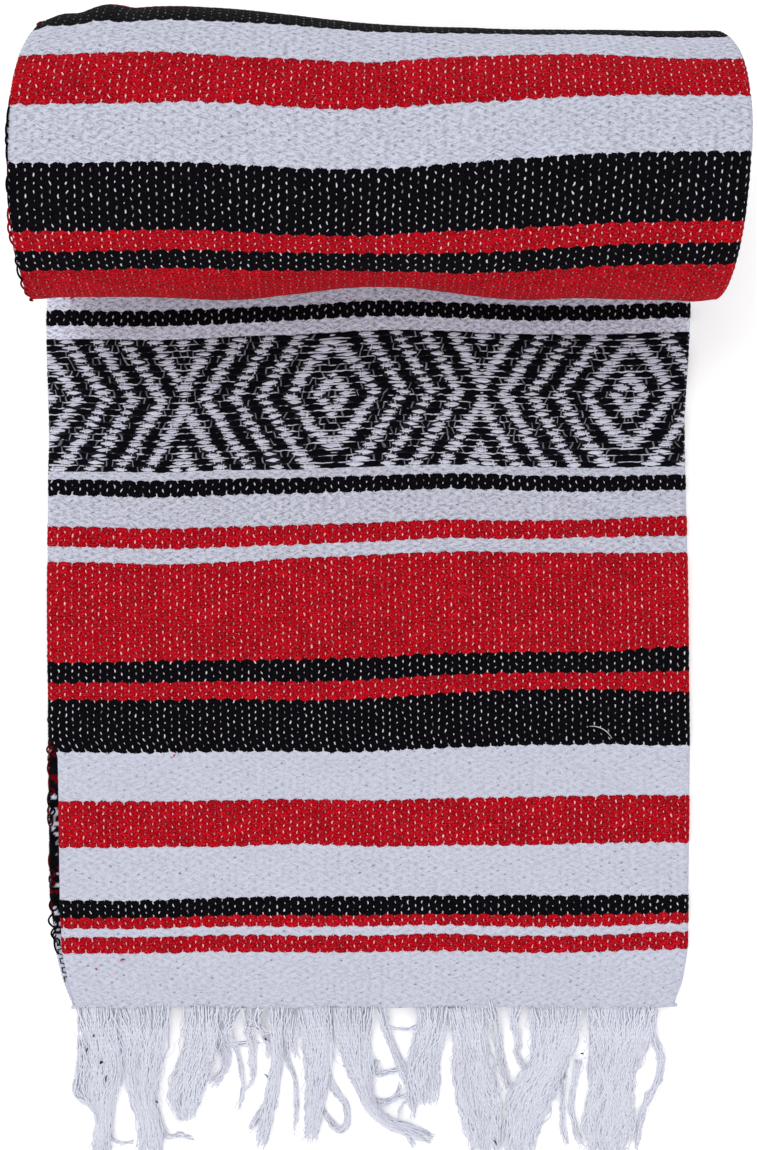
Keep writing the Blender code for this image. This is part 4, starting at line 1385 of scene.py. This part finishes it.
def tuft_threads(count, guide):
    """Threads that follow one guide, each drifting from side to side within its width."""
    reach = 1 - 0.16 * rng.uniform(0, 1, (count, 1)) ** 2
    share = np.linspace(0, 1, THREAD_PLACES)[None, :] * reach
    at = share * (GUIDE_READS - 1)
    centre_x, centre_y, half, left_x, left_y, distance = along_guide(guide, GUIDE_READS, at)
    # Near the hem each thread stands at its own place; further on it wanders.
    place = ((np.arange(count) + 0.5) / count * 2 - 1)[:, None]
    eased = fade_in(distance, 22)
    drift = waves(distance, count, ((34, 90), (18, 40)), (0.04, 0.17)) * eased
    side = np.clip(place * (1 - 0.25 * eased) + drift, -1.12, 1.12)
    curl = waves(distance, count, ((5, 9), (9, 18)), (0.05, 0.60)) * np.clip(distance / 12, 0.12, 1)
    off = half * side + curl
    x = centre_x + left_x * off
    y = centre_y + left_y * off
    y = y + waves(distance, count, ((9, 20),), (0.1, 0.5)) * np.clip(share * 6, 0, 1)
    level = rng.uniform(0, 1, (count, 1))
    fallen = ease(fade_in(HEM - y, 24))
    depth = np.clip(half * count / 260, 0.35, 1.0)
    wander = waves(distance, count, ((12, 30),), (0.08, 0.30))
    rest = 0.75 + 3.9 * level * depth + wander
    root = 4.4 + 2.7 * rng.uniform(0, 1, (count, 1)) ** 0.6
    starts_at_hem = guide[0][1] > HEM
    root_share = np.clip(1 - share * 8, 0, 1)
    if starts_at_hem:
        # Some warp ends come out on top of the cloth, a little above the hem.
        on_top = rng.uniform(0, 1, (count, 1)) < 0.035
        root = np.where(on_top, 7.95, root)
        y = y + np.where(on_top, rng.uniform(-1.5, 2.5, (count, 1)), 0) * root_share
    z = root + (rest - root) * fallen
    if count >= CORE_COUNT:
        # In a wide tuft most threads lie on its matted middle, and a few under it.
        core_half = np.maximum(half * CORE_SHARE, 0.1)
        crown = core_tall(half) * np.sqrt(np.clip(1 - (off / core_half) ** 2, 0, 1))
        over = core_middle(y) + crown + 0.95 * (level - 0.30) + wander * 0.6
        under = core_middle(y) - crown - 0.3
        z = np.where(level < 0.10, under, over)
    if starts_at_hem:
        # A few others start at the very edge of the hem and break its line.
        at_edge = (level * 37.0) % 1.0 < 0.16
        y = y + np.where(at_edge, (level * 91.0) % 1.0 * 1.9 - 3.6, 0) * root_share
        held = HIGHEST + (z - HIGHEST) * ease(fade_in(HEM - y, 14))
        z = np.where(at_edge, np.maximum(z, held), z)
    paths = np.stack([x, y, np.clip(z, LOWEST, HIGHEST)], axis=-1) * MM
    tip = np.clip((share / reach - 0.9) / 0.1, 0, 1)
    return paths, THREAD_RADIUS * rng.uniform(0.70, 1.10, (count, 1)) * (1 - 0.5 * tip)


def fluff(tuft_count, guide):
    """Single fibres that slipped out of a tuft and curl beside it."""
    count = max(2, tuft_count // 6)
    start = rng.uniform(0.0, 0.7, (count, 1))
    stop = np.minimum(1.0, start + rng.uniform(0.15, 0.5, (count, 1)))
    share = start + (stop - start) * np.linspace(0, 1, FLUFF_PLACES)[None, :]
    x, y, half, _, _, distance = along_guide(guide, FLUFF_READS, share * (FLUFF_READS - 1))
    side = rng.choice([-1.0, 1.0], (count, 1)) * rng.uniform(0.2, 1.05, (count, 1))
    x = x + side * half + waves(distance, count, ((5, 12), (10, 26)), (0.4, 1.6))
    y = y + waves(distance, count, ((6, 14),), (0.4, 1.8))
    z = rng.uniform(1.0, 5.0, (count, 1)) + waves(distance, count, ((8, 20),), (0.2, 0.8))
    paths = np.stack([x, np.minimum(y, HEM - 0.5), np.clip(z, 0.5, 6.0)], axis=-1) * MM
    return paths, rng.uniform(0.13, 0.26, (count, 1)) * MM * np.ones((1, FLUFF_PLACES))


def all_tufts(make):
    """The paths and radii that `make` gives for every tuft, joined."""
    found = [make(count, guide) for count, guide in FRINGE_PATHS]
    return [np.concatenate(values) for values in zip(*found)]


def build_fringe(material):
    """The tufts' threads, dealt out in turn to the upper and the lower layers."""
    paths, radii = all_tufts(tuft_threads)
    return [
        add_strands(name, paths[start::2], radii[start::2], 3, material, "white_cotton")
        for start, name in enumerate(("fringe_upper_threads", "fringe_lower_threads"))
    ]


def build_tuft_cores(material):
    """The matted middle of each wide tuft: a flattened rope that the outer threads lie round."""
    turn = np.linspace(0, 2 * math.pi, CORE_SIDES, endpoint=False)[None, :]
    points, quads, caps, uvs = [], [], [], []
    at = CORE_PLACES[:, None]
    index = np.arange(len(at) * CORE_SIDES).reshape(len(at), CORE_SIDES)
    for guide in (guide for count, guide in FRINGE_PATHS if count >= CORE_COUNT):
        x, y, half, left_x, left_y, along = along_guide(guide, CORE_READS, at)
        edge = half * CORE_SHARE + 0.9 * lattice_noise(along / 4.0, 0 * along + half, 301)
        # It narrows towards both ends.
        closing = np.clip((at - 1) / 3, 0.3, 1) * np.clip((35 - at) / 6, 0.15, 1)
        off = edge * closing * np.cos(turn)
        ridges = 0.35 * lattice_noise(off / 1.3, along / 22, 302) * np.sin(turn)
        z = core_middle(y) + (core_tall(half) * closing + ridges) * np.sin(turn)
        rings = np.stack([x + left_x * off, y + left_y * off, np.clip(z, 0.7, 6.6)], axis=-1) * MM
        beside = np.roll(index, -1, axis=1)
        quads.append(four_corners(index[:-1], index[1:], beside[1:], beside[:-1]))
        caps += [index[0], index[-1][::-1]]
        points.append(rings.reshape(-1, 3))
        uvs.append(paired(off / 0.9, along / 45).reshape(-1, 2))
        index = index + index.size
    points, quads = np.concatenate(points), np.concatenate(quads)
    made = add_mesh("tuft_cores", points, quads, material, "white_cotton", extra_faces=caps)
    set_uv(made, "strand", np.concatenate(uvs))


# Wefts carried up the left selvedge, in mm from the hem: where they run on the free end, from
# where the first fold reaches over them, and on the roll where they end, are hidden, stand out
# more and are red.
TAIL_LOOPS = (26.0, 392)
UNDER_FOLD = 128
ROLL_LOOPS_END = 745
ROLL_LOOPS_HIDDEN = (530, 578)
ROLL_LOOPS_LONG = (622, 690)
ROLL_LOOPS_RED = ((415, 450), (520, 529), (560, 583), (601, 612), (622, 650), (655, 745))


def within(place, ends):
    return ends[0] < place < ends[1]


def carried_loops(material):
    """Wefts carried up the selvedge from stripe to stripe: small loops that stand off the edge."""
    share = np.linspace(0, 1, 14)
    paths, tints, radii = [], [], []
    black, red, white = (np.array(YARNS[colour]) for colour in ("black", "red", "white"))
    red = red * 0.34

    def loop(start, span, out, height_share, lift, colour, edge_of, thick=0.52):
        """One loop, with its sizes in mm."""
        bow = np.sin(math.pi * share) ** 0.7
        s = (start + span * share) * MM
        paths.append(edge_of(s, bow * out * MM, height_share, lift * bow * MM))
        tints.append(colour)
        radii.append(thick * MM)

    def on_tail(s, out, height_share, lift):
        x = tail_line("selvedges", s) + 1.1 * MM - out
        z = tail_height(x, s) * height_share + lift
        return np.stack([x, HEM_Y + s, z], axis=-1)

    def on_roll(s, out, height_share, lift):
        turns = turns_at(s)
        x = roll_end_line(turns, "left") + 0.9 * MM - out
        return roll_place(x, turns, height_share + 0 * x, out=0.5 * MM + lift)

    s, last = TAIL_LOOPS
    while s < last:
        colour = black if rng.uniform() < 0.72 else red
        span = rng.uniform(4.5, 11.0)
        out = rng.uniform(0.6, 1.9)
        if s > UNDER_FOLD:
            # Here the first fold reaches over the edge, and each loop is of its stripe's own yarn.
            colour = yarn_colours([(s + span / 2) * MM])[0]
            colour = colour * (0.45 if 0.05 < colour[0] < 0.4 else 0.95)
            span, out = span * 0.6, out * 0.55
        loop(s, span, out, rng.uniform(0.2, 0.5), 0.3, colour, on_tail)
        if within(s, (40, UNDER_FOLD)) and rng.uniform() < 0.8:
            # More of them cross over the edge's upper side.
            start, reach = s + rng.uniform(-1, 2), rng.uniform(2.5, 5.0)
            inward = -rng.uniform(0.8, 2.6)
            shade = black if rng.uniform() < 0.6 else red * 0.8
            loop(start, reach, inward, rng.uniform(0.46, 0.6), 0.4, shade, on_tail)
        if rng.uniform() < 0.35:
            loop(s + 2, span * 0.6, rng.uniform(0.4, 1.2), 0.15, 0.2, white, on_tail)
        s += span * rng.uniform(0.55, 0.9)
    # The last ones stand clear of the edge, and one thin end zigzags on towards the hem.
    for start, span, out in ((33, 6, 2.3), (39, 7, 2.9), (47, 6, 1.6), (30, 4, -1.4)):
        loop(start, span, out, 0.45, 0.6, black, on_tail)
    for step in range(9):
        loop(12 + 2.3 * step, 2.6, -2.6 if step % 2 else -0.2, 0.5, 0.35, black, on_tail, 0.26)
    s = TAIL_LENGTH / MM + 12
    while s < ROLL_LOOPS_END:
        colour = red * 1.9 if any(within(s, ends) for ends in ROLL_LOOPS_RED) else black
        span = rng.uniform(4.5, 9.0)
        out = rng.uniform(0.2, 0.9) * (1.9 if within(s, ROLL_LOOPS_LONG) else 1.0)
        if within(s, ROLL_LOOPS_HIDDEN):
            s += span
            continue
        loop(s, span, out, rng.uniform(0.02, 0.22), 0.1, colour, on_roll)
        s += span * rng.uniform(0.6, 1.0)
    radii = np.array(radii)[:, None] * np.ones((1, len(share)))
    add_strands("carried_wefts", np.array(paths), radii, 5, material, "red_weft", tints)


# Bits of dark chaff caught in the fringe, a stray thread beside the free end and pills of red
# lint: what each is made of, where its middle is as (across, along, height) in mm, its direction in
# degrees, its length and its thickness in mm.
BITS = (
    ("chaff", (-139.4, -211.6, 6.6), 75, 1.6, 0.34),
    ("chaff", (-143.0, -219.0, 5.4), 70, 2.2, 0.36),
    ("chaff", (-136.0, -225.6, 4.9), 40, 1.8, 0.62),
    ("chaff", (-133.4, -233.4, 4.6), 80, 3.2, 0.36),
    ("chaff", (-108.6, -245.3, 4.4), -40, 1.6, 0.36),
    ("chaff", (-54.4, -214.0, 4.4), -45, 1.5, 0.40),
    ("chaff", (-54.2, -234.0, 0.9), -55, 4.2, 0.26),
    ("chaff", (103.4, -221.0, 5.2), 10, 1.5, 0.40),
    ("chaff", (60.0, -265.6, 4.4), -62, 3.0, 0.34),
    ("stray", (112.0, -60.5, 9.3), -28, 13.0, 0.22),
    ("lint", (-149.6, 154.2, 10.6), 20, 2.2, 0.50),
    ("lint", (-124.8, -173.4, 9.1), 15, 2.4, 0.45),
    ("lint", (-99.0, -72.0, 9.6), 60, 1.6, 0.40),
    ("lint", (-138.0, -178.0, 8.9), -50, 1.4, 0.35),
)
BIT_COLOURS = {
    "chaff": (0.012, 0.010, 0.016),
    "stray": (0.60, 0.60, 0.68),
    "lint": (0.42, 0.03, 0.06),
}


def build_bits(material):
    share = np.linspace(-0.5, 0.5, 9)
    paths, radii, tints = [], [], []
    for kind, (x, y, z), degrees, length, thick in BITS:
        turn = math.radians(degrees)
        bow = 0.16 * length * (0.25 - share**2) * 4
        along = share * length
        paths.append(np.stack([
            x + along * math.cos(turn) - bow * math.sin(turn),
            y + along * math.sin(turn) + bow * math.cos(turn),
            z + 0 * along,
        ], axis=-1))
        radii.append(thick * np.sqrt(np.clip(1.02 - (2 * share) ** 2, 0.1, 1)))
        tints.append(BIT_COLOURS[kind])
    paths, radii = np.array(paths) * MM, np.array(radii) * MM
    add_strands("loose_bits", paths, radii, 6, material, "white_cotton", tints)


# ================================================================ the stage


FLOOR_HALF = 2.5
FLOOR_HEIGHT = -0.2 * MM
FLOOR_GLOW = 0.15  # keeps the floor's shadows faint, since the photo is cut out on white
SKY_STRENGTH = 0.72
LIGHTS = {"key_light": ((-1.4, 2.0, 3.0), 3.4, 64.0), "fill_light": ((0.6, -3.2, 1.8), 3.0, 50.0)}
CAMERA_PLACE = (2.0 * MM, 17.5 * MM, 800 * MM)
FRAME_HEIGHT = 36.0
FOCAL_SHARE = 1596 / 1150  # the lens, in heights of the frame


def build_stage():
    """A plain pale floor, a soft even light and the camera straight above."""
    scene = bpy.context.scene
    steps = np.linspace(-FLOOR_HALF, FLOOR_HALF, 9)
    x, y = np.meshgrid(steps, steps)
    points = np.stack([x, y, 0 * x + FLOOR_HEIGHT], axis=-1)
    material = new_material("floor_paper", (0.9, 0.9, 0.9))
    tree = material.node_tree
    tone = noise_at(object_place(tree), 6.0, 2.0) * 0.01 + 0.985
    feed_all(tree.nodes["Principled BSDF"], {
        "Roughness": 0.9, "Specular IOR Level": 0.1, "Base Color": grey(tone),
        "Emission Color": (1.0, 1.0, 1.0), "Emission Strength": FLOOR_GLOW,
    })
    mesh = bpy.data.meshes.new("floor")
    mesh.from_pydata(points.reshape(-1, 3).tolist(), [], grid_quads(*x.shape).tolist())
    mesh.materials.append(material)
    floor = bpy.data.objects.new("floor", mesh)
    scene.collection.objects.link(floor)
    floor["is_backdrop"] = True

    world = bpy.data.worlds.new("studio")
    world.use_nodes = True
    sky = {"Color": (1.0, 1.0, 1.0), "Strength": SKY_STRENGTH}
    feed_all(world.node_tree.nodes["Background"], sky)
    scene.world = world

    for name, (place, size, power) in LIGHTS.items():
        light = bpy.data.lights.new(name, "AREA")
        light.shape = "DISK"
        light.size = size
        light.energy = power
        lamp = bpy.data.objects.new(name, light)
        lamp.location = place
        aim = -np.array(place)
        tilt = math.atan2(math.hypot(aim[0], aim[1]), -aim[2])
        lamp.rotation_euler = (tilt, 0.0, math.atan2(aim[0], -aim[1]) + math.pi)
        scene.collection.objects.link(lamp)

    camera = bpy.data.cameras.new("camera")
    camera.sensor_fit = "VERTICAL"
    camera.sensor_height = FRAME_HEIGHT
    camera.lens = FRAME_HEIGHT * FOCAL_SHARE
    holder = bpy.data.objects.new("camera", camera)
    holder.location = CAMERA_PLACE
    scene.collection.objects.link(holder)
    scene.camera = holder
    scene.view_settings.view_transform = "Standard"


# ================================================================ everything together

build_stage()
build_underside()
tail = add_sheets(TAIL_SHEETS, pad=0.17, place_points=tail_points, lift=np.ones_like)
roll = add_sheets(ROLL_SHEETS, pad=0.2, place_points=roll_points, lift=off_the_floor)
edge_material = tinted_cloth("cloth_edges")
build_roll_ends(edge_material)
build_selvedges(edge_material)
build_hem(edge_material)
carried_loops(edge_material)
cotton = loose_cotton("fringe_cotton", LOOSE_COTTON)
fringe = build_fringe(cotton)
add_strands("loose_fibres", *all_tufts(fluff), 3, cotton, "white_cotton")
build_tuft_cores(cotton)
build_bits(edge_material)

for sheet in tail:
    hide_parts("free_end")
for sheet in roll:
    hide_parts("roll")
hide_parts("fringe_upper")
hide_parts("fringe_lower")

{"cad": cad_box, "visual": [list(corner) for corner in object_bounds()]}
